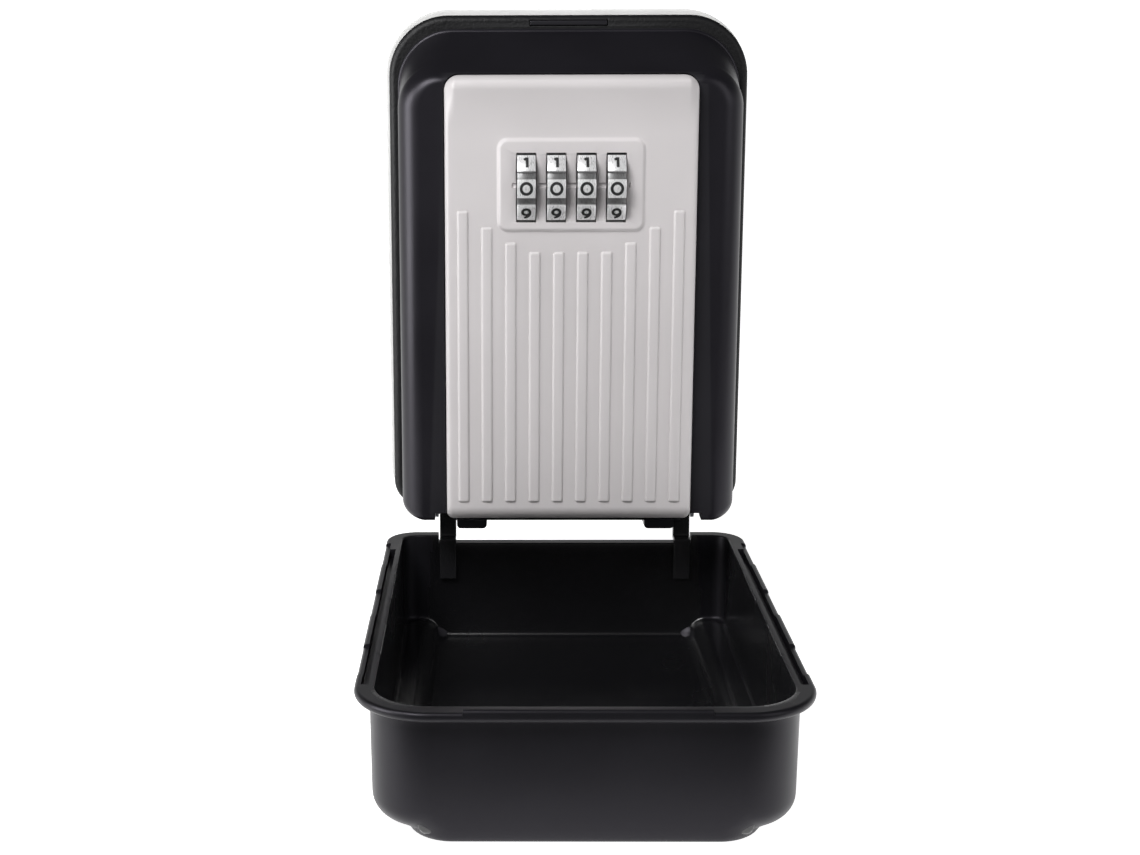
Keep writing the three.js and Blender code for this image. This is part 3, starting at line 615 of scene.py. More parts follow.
# the cover's outline at an inset, with places kept along the straight sides
def coverLoop(inset):
    c = cover
    half = c["halfWidth"] - inset
    rear = c["rearY"] - inset
    front = c["frontY"] + inset
    frontRadius = max(c["frontRadius"] - inset, 0.25 * mm)
    rearRadius = max(c["rearRadius"] - inset, 0.25 * mm)
    frontXs = stations(c["stationStep"], c["halfWidth"] - c["frontRadius"], [c["raisedHalf"], 16 * mm])
    rearXs = stations(c["stationStep"], c["halfWidth"] - c["rearRadius"], [c["notchHalf"]])
    sideRuns = [v * mm for run in c["loweredRuns"] + c["padRuns"] for v in run]
    sideRuns += [c["channelRear"], c["channelFront"]]
    sideYs = sideStations(c["sideStep"], sideRuns)
    points = []
    frontHalf, rearHalf = half - frontRadius, half - rearRadius
    points += [(min(max(x, -frontHalf), frontHalf), front) for x in frontXs]
    points += arc(half - frontRadius, front + frontRadius, frontRadius, -90, 44)
    sideYs = [min(max(y, front + frontRadius), rear - rearRadius) for y in sideYs]
    points += [(half, y) for y in sideYs]
    points += arc(half - rearRadius, rear - rearRadius, rearRadius, 0, 26)
    points += [(min(max(-x, -rearHalf), rearHalf), rear) for x in rearXs]
    points += arc(-half + rearRadius, rear - rearRadius, rearRadius, 90, 26)
    points += [(-half, y) for y in reversed(sideYs)]
    points += arc(-half + frontRadius, front + frontRadius, frontRadius, 180, 44)
    return points


def arc(u, v, radius, start, steps):
    return [(u + radius * cos(radians(start + 90 * i / steps)),
             v + radius * sin(radians(start + 90 * i / steps))) for i in range(steps + 1)]


# x places strictly inside a straight stretch, with a close pair at each mark
def stations(step, half, marks):
    values = {round(v, 7) for m in marks if m < half - 0.2 * mm
              for s in (-1, 1) for v in (s * m - 0.04 * mm, s * m + 0.04 * mm)}
    count = int(2 * half / step)
    for i in range(1, count):
        x = -half + 2 * half * i / count
        if all(abs(x - v) > 0.2 * mm for v in values):
            values.add(round(x, 7))
    return sorted(values)


def sideStations(step, marks):
    c = cover
    low = c["frontY"] + c["frontRadius"]
    high = c["rearY"] - c["rearRadius"]
    values = {round(c["rearY"] - m + s * 0.04 * mm, 7) for m in marks for s in (-1, 1)}
    values = {v for v in values if low < v < high}
    count = int((high - low) / step)
    for i in range(1, count):
        y = low + (high - low) * i / count
        if all(abs(y - v) > 0.25 * mm for v in values):
            values.add(round(y, 7))
    return sorted(values)


def inRuns(value, runs):
    return any(low * mm < value < high * mm for low, high in runs)


def coverMiddle():
    return (cover["rearY"] + cover["frontY"]) / 2, (cover["rearY"] - cover["frontY"]) / 2


# height of the outside under the cover, by distance from its wall and from the plateau
def outerBottom(x, y, inset):
    c = cover
    middle, halfLength = coverMiddle()
    wall = c["beadOverhang"] + c["draft"]
    plateau = roundBox(x, y - middle, c["plateauHalf"], halfLength - wall, c["plateauRadius"])
    side = smoothStep(*c["plateauFade"], plateau)
    t = inset - wall
    ledgeLift = roundLift(t, c["ledgeRound"])
    bottomLift = roundLift(min(t, -plateau), c["bottomRound"])
    low = c["rimZ"] - c["depth"] + bottomLift
    high = c["rimZ"] - c["depth"] + c["ledge"] + ledgeLift
    return low * (1 - side) + high * side


def roundLift(t, radius):
    if t >= radius:
        return 0.0
    t = max(t, 0.0)
    return radius - sqrt(radius ** 2 - (radius - t) ** 2)


def innerBottom(x, inset):
    c = cover
    wall = c["beadOverhang"] + c["draft"] + c["wall"]
    floor = c["rimZ"] - c["depth"] + c["floor"]
    ledge = floor + c["wellRound"]
    over = abs(x) - c["wellHalf"]
    if over <= 0:
        level = floor + c["bevelledFloor"] * smoothStep(-0.9 * mm, 0, over)
    elif over < c["wellRound"]:
        level = floor + sqrt(c["wellRound"] ** 2 - (c["wellRound"] - over) ** 2)
        level = max(level, floor + c["bevelledFloor"])
    else:
        level = ledge
    return level + roundLift(inset - wall, c["innerRound"])


# height of the rim's top at a place, t in from its outer edge
def rimTop(x, y, t):
    c = cover
    fromRear = c["rearY"] - y
    z = c["rimZ"]
    onSide = abs(x) > c["halfWidth"] - c["nearEnd"]
    besideChannel = onSide and c["channelRear"] < fromRear < c["channelFront"]
    if besideChannel and c["lip"] + 0.01 * mm < t < c["lip"] + c["channel"] - 0.01 * mm:
        return z - c["channelDepth"]
    if onSide and t <= c["lip"] and inRuns(fromRear, c["loweredRuns"]):
        return z - c["lowered"]
    if fromRear < c["nearEnd"] and abs(x) < c["notchHalf"]:
        return z - c["notchDepth"]
    if fromRear > 100 * mm and abs(x) < c["raisedHalf"] and t <= c["lip"] + 0.3 * mm:
        return z + c["raised"]
    return z


# x of the inner wall, which stands in a little along the pads
def padded(x, y, z):
    c = cover
    if abs(x) < c["halfWidth"] - c["nearSide"] or not inRuns(c["rearY"] - y, c["padRuns"]):
        return x
    inward = c["pad"] * smoothStep(-c["padFadeLow"], -c["padFadeHigh"], z - c["rimZ"])
    return x - inward if x > 0 else x + inward


def makeCover():
    c = cover
    rings = []
    wallInset = c["beadOverhang"] + c["draft"]

    def ring(inset, height):
        loop = coverLoop(inset)
        rings.append([(x, y, height(x, y)) for x, y in loop])

    def heightAt(inset):
        return lambda x, y: outerBottom(x, y, inset)

    outerTs = [14, 12.5, 11, 10, 9.2, 8.8, 8.5, 8.3, 8.1, 7.9, 7.7, 7.5, 7.3, 7.1, 6.9, 6.6, 6.2, 5.6,
               5, 4.4, 3.8, 3.2, 2.7, 2.2, 1.8, 1.4, 1.1, 0.8, 0.55, 0.35, 0.2, 0.08, 0]
    for t in outerTs:
        inset = wallInset + t * mm
        ring(inset, heightAt(inset))
    bottom = [outerBottom(x, y, wallInset) for x, y in coverLoop(wallInset)]
    coveZ = c["rimZ"] - c["beadHeight"] - c["coveRadius"]
    for i in range(1, 13):
        f = i / 12
        inset = wallInset - c["draft"] * f
        loop = coverLoop(inset)
        rings.append([(x, y, bottom[k] + (coveZ - bottom[k]) * f) for k, (x, y) in enumerate(loop)])
    r = c["coveRadius"]
    for i in range(1, 6):
        a = radians(90 * i / 5)
        inset = c["beadOverhang"] - r * (1 - cos(a))
        ring(inset, lambda x, y, a=a: coveZ + r * sin(a))
    under = c["rimZ"] - c["beadHeight"]
    roundR, crown, edge = c["beadRound"], c["crown"], c["innerEdge"]
    for i in range(0, 9):
        a = radians(90 * i / 8)
        ring(roundR * (1 - sin(a)), lambda x, y, a=a: min(under + c["beadFlat"] + roundR * (1 - cos(a)),
                                                          rimTop(x, y, 0) - crown))
    for i in range(0, 7):
        a = radians(90 * i / 6)
        inset = crown * (1 - cos(a))
        ring(inset, lambda x, y, a=a, i=inset: rimTop(x, y, i) - crown * (1 - sin(a)))
    lip, channel = c["lip"], c["channel"]
    for t in (1.0 * mm, lip - 0.12 * mm, lip, lip + 0.05 * mm, lip + channel / 2, lip + channel - 0.05 * mm,
              lip + channel, lip + channel + 0.15 * mm):
        ring(t, lambda x, y, t=t: rimTop(x, y, t))
    inner = c["beadOverhang"] + c["wall"]

    def innerRing(inset, height):
        loop = coverLoop(inset)
        points = []
        for x, y in loop:
            z = height(x, y)
            points.append((padded(x, y, z), y, z))
        rings.append(points)

    for i in range(0, 5):
        a = radians(90 * i / 4)
        inset = inner - edge * (1 - sin(a))
        innerRing(inset, lambda x, y, a=a, i=inset: rimTop(x, y, i) - edge * (1 - cos(a)))
    wellInset = inner + c["draft"]
    well = [innerBottom(x, wellInset) for x, _ in coverLoop(wellInset)]
    for i in range(1, 13):
        f = i / 12
        inset = inner + c["draft"] * f
        loop = coverLoop(inset)
        start = c["rimZ"] - c["notchDepth"] - c["innerStart"]
        points = []
        for k, (x, y) in enumerate(loop):
            z = start + (well[k] - start) * f
            points.append((padded(x, y, z), y, z))
        rings.append(points)
    innerTs = [0.06, 0.16, 0.3, 0.5, 0.75, 1.05, 1.4, 1.8, 2.2, 2.8, 3.5, 4.1, 4.4, 4.7, 5.1, 5.6, 6.1,
               6.6, 7.1, 7.5, 7.9, 8.2, 8.4, 8.55, 8.65, 8.8, 9.0, 9.3, 9.7, 10.3, 11, 12.5, 14]
    for t in innerTs:
        inset = wellInset + t * mm
        ring(inset, lambda x, y, i=inset: innerBottom(x, i))
    thing = loft("cover", rings)
    shadeByAngle(thing, 40)
    return thing


# gives the faces inside the rim's inner edge their own, glossier finish
def paintInside(thing):
    c = cover
    middle, halfLength = coverMiddle()
    inset = c["beadOverhang"] + c["wall"] - 0.05 * mm
    half = c["halfWidth"] - inset
    for face in thing.data.polygons:
        x, y, _ = face.center
        inside = roundBox(x, y - middle, half, halfLength - inset, 8 * mm) < 0
        outward = face.normal.x * x + face.normal.y * (y - middle)
        if inside and face.normal.z > -0.2 and outward < 1e-4:
            face.material_index = 1


coverPiece = makeCover()
finishPiece(coverPiece, coverBlack, "cover", "cover_black", "cover_shell")
coverPiece.data.materials.append(innerBlack)
paintInside(coverPiece)
print("cover made", len(coverPiece.data.polygons))


# door shell

door = {
    "backY": -16.3 * mm,
    "shoulderY": -34 * mm,
    "halfBack": 39.95 * mm,
    "halfFront": 39.25 * mm,
    "lowBack": -57.7 * mm,
    "lowFront": -58 * mm,
    "highBack": 55.6 * mm,
    "highFront": 45.3 * mm,
    "lowRadius": 4.2 * mm,
    "highRadius": 13 * mm,
    "highRadiusFront": 8.5 * mm,
    "sideRound": 5 * mm,
    "topRound": 1.2 * mm,
    "bottomRound": 0.9 * mm,
    "wall": 2 * mm,
    "floorWall": 3 * mm,
    "cavityFrontY": -30.2 * mm,
    "panelBackY": -32.2 * mm,
    "strapHalf": 2.45 * mm,
    "strapCentre": 29 * mm,
    "strapSlot": 1.6 * mm,
    "armLow": 19.3 * mm,
    "armHigh": 22.5 * mm,
    "skirt": 0.45 * mm,
    "cavityLowRadius": 3.5 * mm,
    "cavityHighRadius": 10 * mm,
    "pocketGap": 0.35 * mm,
    "pocketLowRadius": 2 * mm,
    "pocketHighRadius": 3.6 * mm,
    "windowHalf": 17.1 * mm,
    "windowHalfHeight": 12.4 * mm,
    "edgeBevel": 0.22 * mm,
    "armThick": 1.8 * mm,
    "armEye": 2.2 * mm,
    "armPlateEnd": 26.65 * mm,
    "armPlateFoot": 2.6 * mm,  # below the hinge
    "pinHole": 1.2 * mm,
    "postRadius": 2.6 * mm,
    "postBore": 1.25 * mm,
    "postFootY": -31 * mm,
    "boreFootY": -29.2 * mm,
    "chassisPostY": -21.2 * mm,
    "platePostY": -18.0 * mm,
    "chassisHalf": 25 * mm,  # posts nearer the middle hold the chassis
}


panel = {
    "half": 28.5 * mm,
    "low": -57.4 * mm,
    "high": 45.4 * mm,
    "faceY": -37 * mm,
    "backY": -32.5 * mm,
    "radius": 3.3 * mm,
    "round": 1.25 * mm,
    "bottomRound": 4.2 * mm,
    "bottomPull": 0.9,
    "bottomRadius": 1.6 * mm,
    "flare": 1.7 * mm,
    "flareLow": 13 * mm,  # below the top edge
    "flareHigh": 2.7 * mm,
    "frameHalf": 16.85 * mm,
    "frameHalfHeight": 10.7 * mm,
    "frameLift": 0.5 * mm,
    "frameRadius": 2.6 * mm,
    "frameRaise": 0.8 * mm,
    "frameSlope": 1.0 * mm,
    "slotHalf": 2.25 * mm,
    "slotHalfHeight": 7.6 * mm,
    "wheelRoom": 10.05 * mm,  # radius kept clear round the axle
    "indexHalf": 13.35 * mm,
    "indexHalfHeight": 0.6 * mm,
    "indexDepth": 0.4 * mm,
    "indexLift": 0.5 * mm,
    "recessHalf": 17.05 * mm,
    "recessHalfHeight": 4.3 * mm,
    "recessY": -34.3 * mm,
}


# the door's outline at a depth share, drawn in by its own amount at sides, top and bottom
def doorLoop(depth, pull, topPull, lowPull):
    d = door
    f = depth
    half = d["halfBack"] + (d["halfFront"] - d["halfBack"]) * f - pull
    low = d["lowBack"] + (d["lowFront"] - d["lowBack"]) * f + lowPull
    high = d["highBack"] + (d["highFront"] - d["highBack"]) * f - topPull
    lowRadius = max(d["lowRadius"] - 0.5 * (pull + lowPull), 0.4 * mm)
    highRadius = d["highRadius"] + (d["highRadiusFront"] - d["highRadius"]) * f
    highRadius = max(highRadius - 0.5 * (pull + topPull), 0.6 * mm)
    return roundLoop(half, low, high, lowRadius, highRadius, steps=20)


def doorRings():
    d = door
    deep = d["backY"] - d["shoulderY"]
    rings = []

    def put(y, pull, topPull, lowPull):
        f = (d["backY"] - y) / deep
        rings.append([(x, y, z) for x, z in doorLoop(f, pull, topPull, lowPull)])

    skirt = d["skirt"]
    for i in range(7):
        a = radians(90 * i / 6)
        pull = skirt * (1 - cos(a))
        put(d["backY"] - 1.1 * skirt * sin(a), pull, pull, 0.5 * pull)
    for i in range(1, 12):
        y = d["backY"] - 1.2 * mm - (deep - 1.2 * mm - d["sideRound"]) * i / 11
        put(y, skirt, skirt, 0.5 * skirt)
    for i in range(1, 15):
        a = radians(90 * i / 14)
        y = d["shoulderY"] + d["sideRound"] * (1 - sin(a))
        pull = d["sideRound"] * (1 - cos(a))
        into = min(max((y - d["shoulderY"]) / d["topRound"], 0), 1)
        topPull = d["topRound"] * (1 - sqrt(max(1 - (1 - into) ** 2, 0)))
        into = min(max((y - d["shoulderY"]) / d["bottomRound"], 0), 1)
        lowPull = d["bottomRound"] * (1 - sqrt(max(1 - (1 - into) ** 2, 0)))
        put(y, pull + skirt * 0.4, topPull + skirt, lowPull)
    return rings


def makeDoor():
    d = door
    thing = loft("doorShell", doorRings())
    cavityLoops = []
    corners = d["cavityLowRadius"], d["cavityHighRadius"]
    for f in (-0.12, 1.0):
        y = d["backY"] + (d["cavityFrontY"] - d["backY"]) * f
        slope = (d["backY"] - y) / (d["backY"] - d["shoulderY"])
        half = d["halfBack"] - d["wall"] - (d["halfBack"] - d["halfFront"]) * slope
        low = d["lowBack"] + d["floorWall"] + 0.6 * mm * slope
        high = d["highBack"] - d["wall"] - (d["highBack"] - d["highFront"]) * slope - 1 * mm * slope
        cavityLoops.append([(x, y, z) for x, z in roundLoop(half, low, high, *corners, steps=8)])
    cutters = [loft("cavity", cavityLoops)]
    gap = d["pocketGap"]
    half = panel["half"] + gap
    corners = d["pocketLowRadius"], d["pocketHighRadius"]
    low, high = panel["low"] - gap, panel["high"] + gap
    pocket = []
    for y in (d["panelBackY"] + 0.3 * mm, d["shoulderY"] - 6 * mm):
        pocket.append([(x, y, z) for x, z in roundLoop(half, low, high, *corners, steps=8)])
    cutters.append(loft("pocket", pocket))
    wide, tall = d["windowHalf"], d["windowHalfHeight"]
    cutters.append(box("lockWindow", (-wide, d["shoulderY"] - 1 * mm, axleZ - tall),
                       (wide, d["cavityFrontY"] + 1 * mm, axleZ + tall)))
    for side in (-1, 1):
        x = side * d["strapCentre"]
        cutters.append(box("strapSlot", (x - d["strapHalf"], d["shoulderY"] - 2 * mm, -60 * mm),
                           (x + d["strapHalf"], d["backY"] + 2 * mm, d["lowBack"] + d["strapSlot"])))
    boolean(thing, cutters)
    extras = []
    for side in (-1, 1):
        lowX, highX = sorted((side * d["armLow"], side * d["armHigh"]))
        extras.append(armPiece(lowX, highX))
        extras.append(armPlate(side))
    for x, z in doorPosts():
        extras.append(post(x, z))
    boolean(thing, extras, "UNION")
    bevelSharp(thing, d["edgeBevel"], 2, 38)
    shadeByAngle(thing, 42)
    weightNormals(thing)
    return thing


# the strip under the panel that joins the arm to the door
def armPlate(side):
    d = door
    lowX, highX = sorted((side * d["armLow"], side * d["armPlateEnd"]))
    loop = roundedBar(lowX, highX, hingeZ - d["armPlateFoot"], d["lowBack"] + 1.5 * mm, 1.0 * mm)
    rings = [[(x, y, z) for x, z in loop] for y in (d["backY"] - d["armThick"], d["backY"])]
    return loft("armPlate", rings)


def roundedBar(lowX, highX, low, high, radius):
    half = (highX - lowX) / 2
    middle = (highX + lowX) / 2
    return [(middle + x, z) for x, z in roundLoop(half, low, high, radius, 0.1 * mm, steps=6)]


def armPiece(lowX, highX):
    d = door
    r = d["armEye"]
    frontY = d["backY"] - d["armThick"]
    points = [(frontY, d["lowBack"] + 1.5 * mm), (frontY, hingeZ - 0.6 * mm)]
    for i in range(7):
        a = radians(180 + 90 * i / 6)
        points.append((d["backY"] - 0.4 * mm + 1.4 * mm * cos(a), hingeZ - 0.6 * mm + 1.4 * mm * sin(a)))
    for i in range(17):
        a = radians(-90 + 180 * i / 16)
        points.append((hingeY + r * cos(a), hingeZ + r * sin(a)))
    points += [(d["backY"] + 1.2 * mm, hingeZ + 1.6 * mm), (d["backY"], hingeZ + 2.4 * mm),
               (d["backY"], d["lowBack"] + 1.5 * mm)]
    rings = [[(x, y, z) for y, z in points] for x in (lowX, highX)]
    arm = loft("arm", rings)
    boolean(arm, [rod("pinHole", d["pinHole"], lowX - mm, highX + mm, hingeY, hingeZ, 24)])
    return arm


def rod(name, radius, lowX, highX, y, z, sides):
    return loft(name, [[(x, y + u, z + v) for u, v in circle(radius, sides)] for x in (lowX, highX)])


def rodY(name, radius, lowY, highY, x, z, sides):
    return loft(name, [[(x + u, y, z + v) for u, v in circle(radius, sides)] for y in (lowY, highY)])


def doorPosts():
    places = []
    for name in ("chassis_screw", "plate_screw"):
        for n in range(1, 5):
            places.append(middleOf(f"{name}_{n}"))
    return places


def post(x, z):
    d = door
    endY = d["chassisPostY"] if abs(x) < d["chassisHalf"] else d["platePostY"]
    piece = rodY("post", d["postRadius"], d["postFootY"], endY, x, z, 28)
    boolean(piece, [rodY("bore", d["postBore"], d["boreFootY"], endY + 1 * mm, x, z, 20)])
    return piece


doorPiece = makeDoor()
finishPiece(doorPiece, satinBlack, "door", "satin_black", "door_shell")
print("door made", len(doorPiece.data.polygons))


# front panel

# how far the outline draws in at a depth near the face
def panelPull(y, roundSize):
    into = min(max((y - panel["faceY"]) / roundSize, 0), 1)
    return roundSize * (1 - sqrt(max(1 - (1 - into) ** 2, 0)))


def makePanel():
    p = panel
    rings = []
    ys = [p["backY"], p["backY"] - 0.2 * mm]
    steps = 16
    for i in range(steps + 1):
        a = radians(90 * i / steps)
        ys.append(p["faceY"] + p["bottomRound"] * (1 - sin(a)))
    for y in ys:
        side = panelPull(y, p["round"])
        bottom = panelPull(y, p["bottomRound"])
        half = p["half"] - side
        low = p["low"] + bottom * p["bottomPull"]
        high = p["high"] - side
        lowRadius = max(p["bottomRadius"] - side * 0.8, 0.4 * mm)
        loop = roundLoop(half, low, high, lowRadius, p["radius"] - side, steps=12)
        rings.append([(x, y, z) for x, z in loop])
    thing = loft("frontPanel", rings)
    flareFace(thing)
    return thing


def cutThrough(bm, place, way):
    everything = bm.verts[:] + bm.edges[:] + bm.faces[:]
    bmesh.ops.bisect_plane(bm, geom=everything, plane_co=place, plane_no=way, dist=1e-7)


# grids the face and brings it forward below the top edge
def flareFace(thing):
    p = panel
    bm = bmesh.new()
    bm.from_mesh(thing.data)
    zs = [p["high"] - 0.5 * mm - (p["flareLow"] - 0.5 * mm) * i / 24 for i in range(25)]
    for z in zs:
        cutThrough(bm, (0, 0, z), (0, 0, 1))
    xs = [-26 * mm + 52 * mm * i / 12 for i in range(13)]
    xs += [side * (27.9 - 0.3 * i) * mm for i in range(6) for side in (-1, 1)]
    for x in xs:
        cutThrough(bm, (x, 0, 0), (1, 0, 0))
    for vert in bm.verts:
        if vert.co.y < p["faceY"] + p["round"]:
            below = p["high"] - vert.co.z
            share = 1 - (vert.co.y - p["faceY"]) / p["round"]
            edge = smoothStep(0.4 * mm, 2.4 * mm, p["half"] - abs(vert.co.x))
            vert.co.y -= flareAt(below) * share * edge
    bm.to_mesh(thing.data)
    bm.free()


# how far the face comes forward at a distance below the top edge
def flareAt(below):
    p = panel
    f = min(max((p["flareLow"] - below) / (p["flareLow"] - p["flareHigh"]), 0), 1)
    out = p["flare"] * f ** 1.9
    if below < p["flareHigh"]:
        rest = 1 - max(below, 0) / p["flareHigh"]
        out *= sqrt(max(1 - rest ** 2, 0))
    return out


def frameLoop(grow, radius):
    p = panel
    half = p["frameHalf"] + grow
    middle = axleZ + p["frameLift"]
    return roundLoop(half, middle - p["frameHalfHeight"] - grow, middle + p["frameHalfHeight"] + grow,
                     radius + grow, radius + grow, steps=10)


def dialFrame():
    p = panel
    rings = []
    slope, rise = p["frameSlope"], p["frameRaise"]
    rings.append([(x, p["faceY"] + 0.6 * mm, z) for x, z in frameLoop(0, p["frameRadius"])])
    profile = [(0, 0), (-0.10, 0.02), (-0.25, 0.12), (-0.45, 0.4), (-0.62, 0.66), (-0.8, 0.86), (-1.0, 0.97),
               (-1.3, 1.0)]
    for inward, up in profile:
        loop = frameLoop(inward * slope, p["frameRadius"])
        rings.append([(x, p["faceY"] - up * rise, z) for x, z in loop])
    return loft("dialFrame", rings)


def slotCutter(x):
    p = panel
    rings = []
    face = p["faceY"] - p["frameRaise"]
    for y, grow in ((face - 0.5 * mm, 0.25), (face, 0.14), (face + 0.06 * mm, 0.06), (face + 0.2 * mm, 0),
                    (p["backY"] + 1 * mm, 0)):
        g = grow * mm
        loop = roundLoop(p["slotHalf"] + g, axleZ - p["slotHalfHeight"] - g, axleZ + p["slotHalfHeight"] + g,
                         0.35 * mm + g, 0.35 * mm + g, steps=5)
        rings.append([(x + u, y, z) for u, z in loop])
    return loft("slot", rings)


def finishPanel():
    p = panel
    thing = makePanel()
    boolean(thing, [dialFrame()], "UNION")
    cutters = [slotCutter(joint["pos_m"][0]) for joint in dialJoints]
    for joint in dialJoints:
        x = joint["pos_m"][0]
        cutters.append(rod("wheelRoom", p["wheelRoom"], x - p["slotHalf"], x + p["slotHalf"],
                           axleY, axleZ, 96))
    face = p["faceY"] - p["frameRaise"]
    groove = []
    indexZ = axleZ + p["indexLift"]
    for x in (-p["indexHalf"], p["indexHalf"]):
        loop = []
        for i in range(9):
            a = radians(90 + 180 * i / 8)
            loop.append((x, face + p["indexDepth"] * -cos(a), indexZ + p["indexHalfHeight"] * sin(a)))
        loop += [(x, face - 0.3 * mm, indexZ - p["indexHalfHeight"]),
                 (x, face - 0.3 * mm, indexZ + p["indexHalfHeight"])]
        groove.append(loop)
    cutters.append(loft("indexGroove", groove))
    wide, tall = p["recessHalf"], p["recessHalfHeight"]
    cutters.append(box("earRecess", (-wide, p["recessY"], axleZ - tall), (wide, -30 * mm, axleZ + tall)))
    boolean(thing, cutters)
    shadeByAngle(thing, 40)
    return thing


panelPiece = finishPanel()
print("panel made", len(panelPiece.data.polygons))


# copies of one template on points

def newSocket(tree, name, kind):
    return tree.interface.new_socket(name=name, in_out="INPUT", socket_type=kind)


# copies Template onto each point, moves its upper end down by the point's drop
def makeCopier():
    tree = bpy.data.node_groups.new("copyOnPoints", "GeometryNodeTree")
    tree.interface.new_socket(name="Geometry", in_out="OUTPUT", socket_type="NodeSocketGeometry")
    sockets = {name: newSocket(tree, name, kind) for name, kind in (
        ("Points", "NodeSocketGeometry"), ("Template", "NodeSocketObject"),
        ("Finish", "NodeSocketMaterial"))}
    nodes, link = tree.nodes, tree.links.new
    start = nodes.new("NodeGroupInput")
    end = nodes.new("NodeGroupOutput")
    info = nodes.new("GeometryNodeObjectInfo")
    copies = nodes.new("GeometryNodeInstanceOnPoints")
    real = nodes.new("GeometryNodeRealizeInstances")
    move = nodes.new("GeometryNodeSetPosition")
    paint = nodes.new("GeometryNodeSetMaterial")
    turn, drop, upper = (addNode(tree, "GeometryNodeInputNamedAttribute", Name=name)
                         for name in ("turn", "drop", "upper"))
    turn.data_type = "FLOAT_VECTOR"
    fall = reckon(tree, "MULTIPLY", drop.outputs["Attribute"], upper.outputs["Attribute"])
    down = reckon(tree, "MULTIPLY", fall, -1.0)
    offset = nodes.new("ShaderNodeCombineXYZ")
    link(start.outputs["Points"], copies.inputs["Points"])
    link(start.outputs["Template"], info.inputs["Object"])
    link(info.outputs["Geometry"], copies.inputs["Instance"])
    link(turn.outputs["Attribute"], copies.inputs["Rotation"])
    link(copies.outputs["Instances"], real.inputs["Geometry"])
    link(down, offset.inputs["Z"])
    link(real.outputs["Geometry"], move.inputs["Geometry"])
    link(offset.outputs["Vector"], move.inputs["Offset"])
    link(move.outputs["Geometry"], paint.inputs["Geometry"])
    link(start.outputs["Finish"], paint.inputs["Material"])
    link(paint.outputs["Geometry"], end.inputs["Geometry"])
    return tree, {name: socket.identifier for name, socket in sockets.items()}


copier, copierInputs = makeCopier()


def setAttribute(mesh, name, kind, values):
    data = mesh.attributes.new(name, kind, "POINT").data
    for item, value in zip(data, values):
        if kind == "FLOAT":
            item.value = value
        else:
            item.vector = value


def copyOnto(name, template, places, material, drops=None, turns=None):
    thing = newObject(name, places, [])
    setAttribute(thing.data, "drop", "FLOAT", drops or [0.0] * len(places))
    setAttribute(thing.data, "turn", "FLOAT_VECTOR", turns or [(0, 0, 0)] * len(places))
    if "upper" not in template.data.attributes:
        setAttribute(template.data, "upper", "FLOAT", [0.0] * len(template.data.vertices))
    mod = thing.modifiers.new("copies", "NODES")
    mod.node_group = copier
    mod[copierInputs["Template"]] = template
    mod[copierInputs["Finish"]] = material
    applyModifiers(thing)
    dropObject(template)
    return thing


# ribs

rib = {
    "pitch": 5.44 * mm,
    "count": 10,
    "halfWidth": 1.32 * mm,
    "raise": 0.55 * mm,
    "low": -52.6 * mm,
    "tops": [15.4, 11.7, 8.2, 6.1, 6.1],  # mm, outermost first
    "corner": 0.5 * mm,
}


def makeRibs():
    p, r = panel, rib
    low = r["low"]
    high = r["tops"][0] * mm
    rings = []
    profile = [(0.0, -0.4), (0.0, 0.0), (0.06, 0.2), (0.14, 0.45), (0.24, 0.7), (0.36, 0.88), (0.5, 0.97),
               (0.66, 1.0)]
    for inward, up in profile:
        half = r["halfWidth"] - inward * mm
        top = high - inward * mm
        bottom = low + inward * mm
        corner = max(r["corner"] - inward * mm * 0.4, 0.2 * mm)
        loop = roundLoop(half, bottom, top, corner, corner, steps=6)
        rings.append([(x, -up * r["raise"], z) for x, z in loop])
    template = loft("ribTemplate", rings)
    middle = (low + high) / 2
    setAttribute(template.data, "upper", "FLOAT",
                 [1.0 if v.co.z > middle else 0.0 for v in template.data.vertices])
    shadeByAngle(template, 50)
    places, drops = [], []
    for i in range(r["count"]):
        places.append(((i - (r["count"] - 1) / 2) * r["pitch"], p["faceY"], 0))
        level = r["tops"][min(i, r["count"] - 1 - i)]
        drops.append((r["tops"][0] - level) * mm)
    return copyOnto("panelRibs", template, places, warmGrey, drops)


ribPiece = makeRibs()
finishPiece(panelPiece, warmGrey, "door", "warm_grey", "front_panel")
finishPiece(ribPiece, warmGrey, "door", "warm_grey")
print("ribs made", len(ribPiece.data.polygons))


# dial wheels

wheel = {
    "radius": 9.72 * mm,
    "width": 4.15 * mm,
    "bore": 3.5 * mm,
    "grooveDepth": 0.85 * mm,
    "landAngle": 24.5,
    "slopeAngle": 1.6,
    "edge": 0.2 * mm,
    "hubRing": 1.6 * mm,
    "rimWidth": 2.0 * mm,
    "dishDepth": 0.25 * mm,
    "dishSlope": 0.1 * mm,
    "digitHeight": 3.1 * mm,
    "digitWidth": 3.0 * mm,
    "stroke": 0.64 * mm,
    "paintSunk": 0.05 * mm,
    "paintHeight": 0.03 * mm,
}


landStep = 36  # degrees from land to land


# angle and radius pairs around one wheel, a land facing the front
def wheelProfile():
    w = wheel
    pairs = []
    half = w["landAngle"] / 2
    for i in range(10):
        middle = 180 + i * landStep
        for k in range(-5, 6):
            pairs.append((middle + half * k / 5, w["radius"]))
        for share, depth in ((0.25, 0.3), (0.6, 0.8), (1.0, 1.0)):
            pairs.append((middle + half + w["slopeAngle"] * share, w["radius"] - w["grooveDepth"] * depth))
        pairs.append((middle + landStep / 2, w["radius"] - w["grooveDepth"]))
        for share, depth in ((1.0, 1.0), (0.6, 0.8), (0.25, 0.3)):
            angle = middle + landStep - half - w["slopeAngle"] * share
            pairs.append((angle, w["radius"] - w["grooveDepth"] * depth))
    return pairs


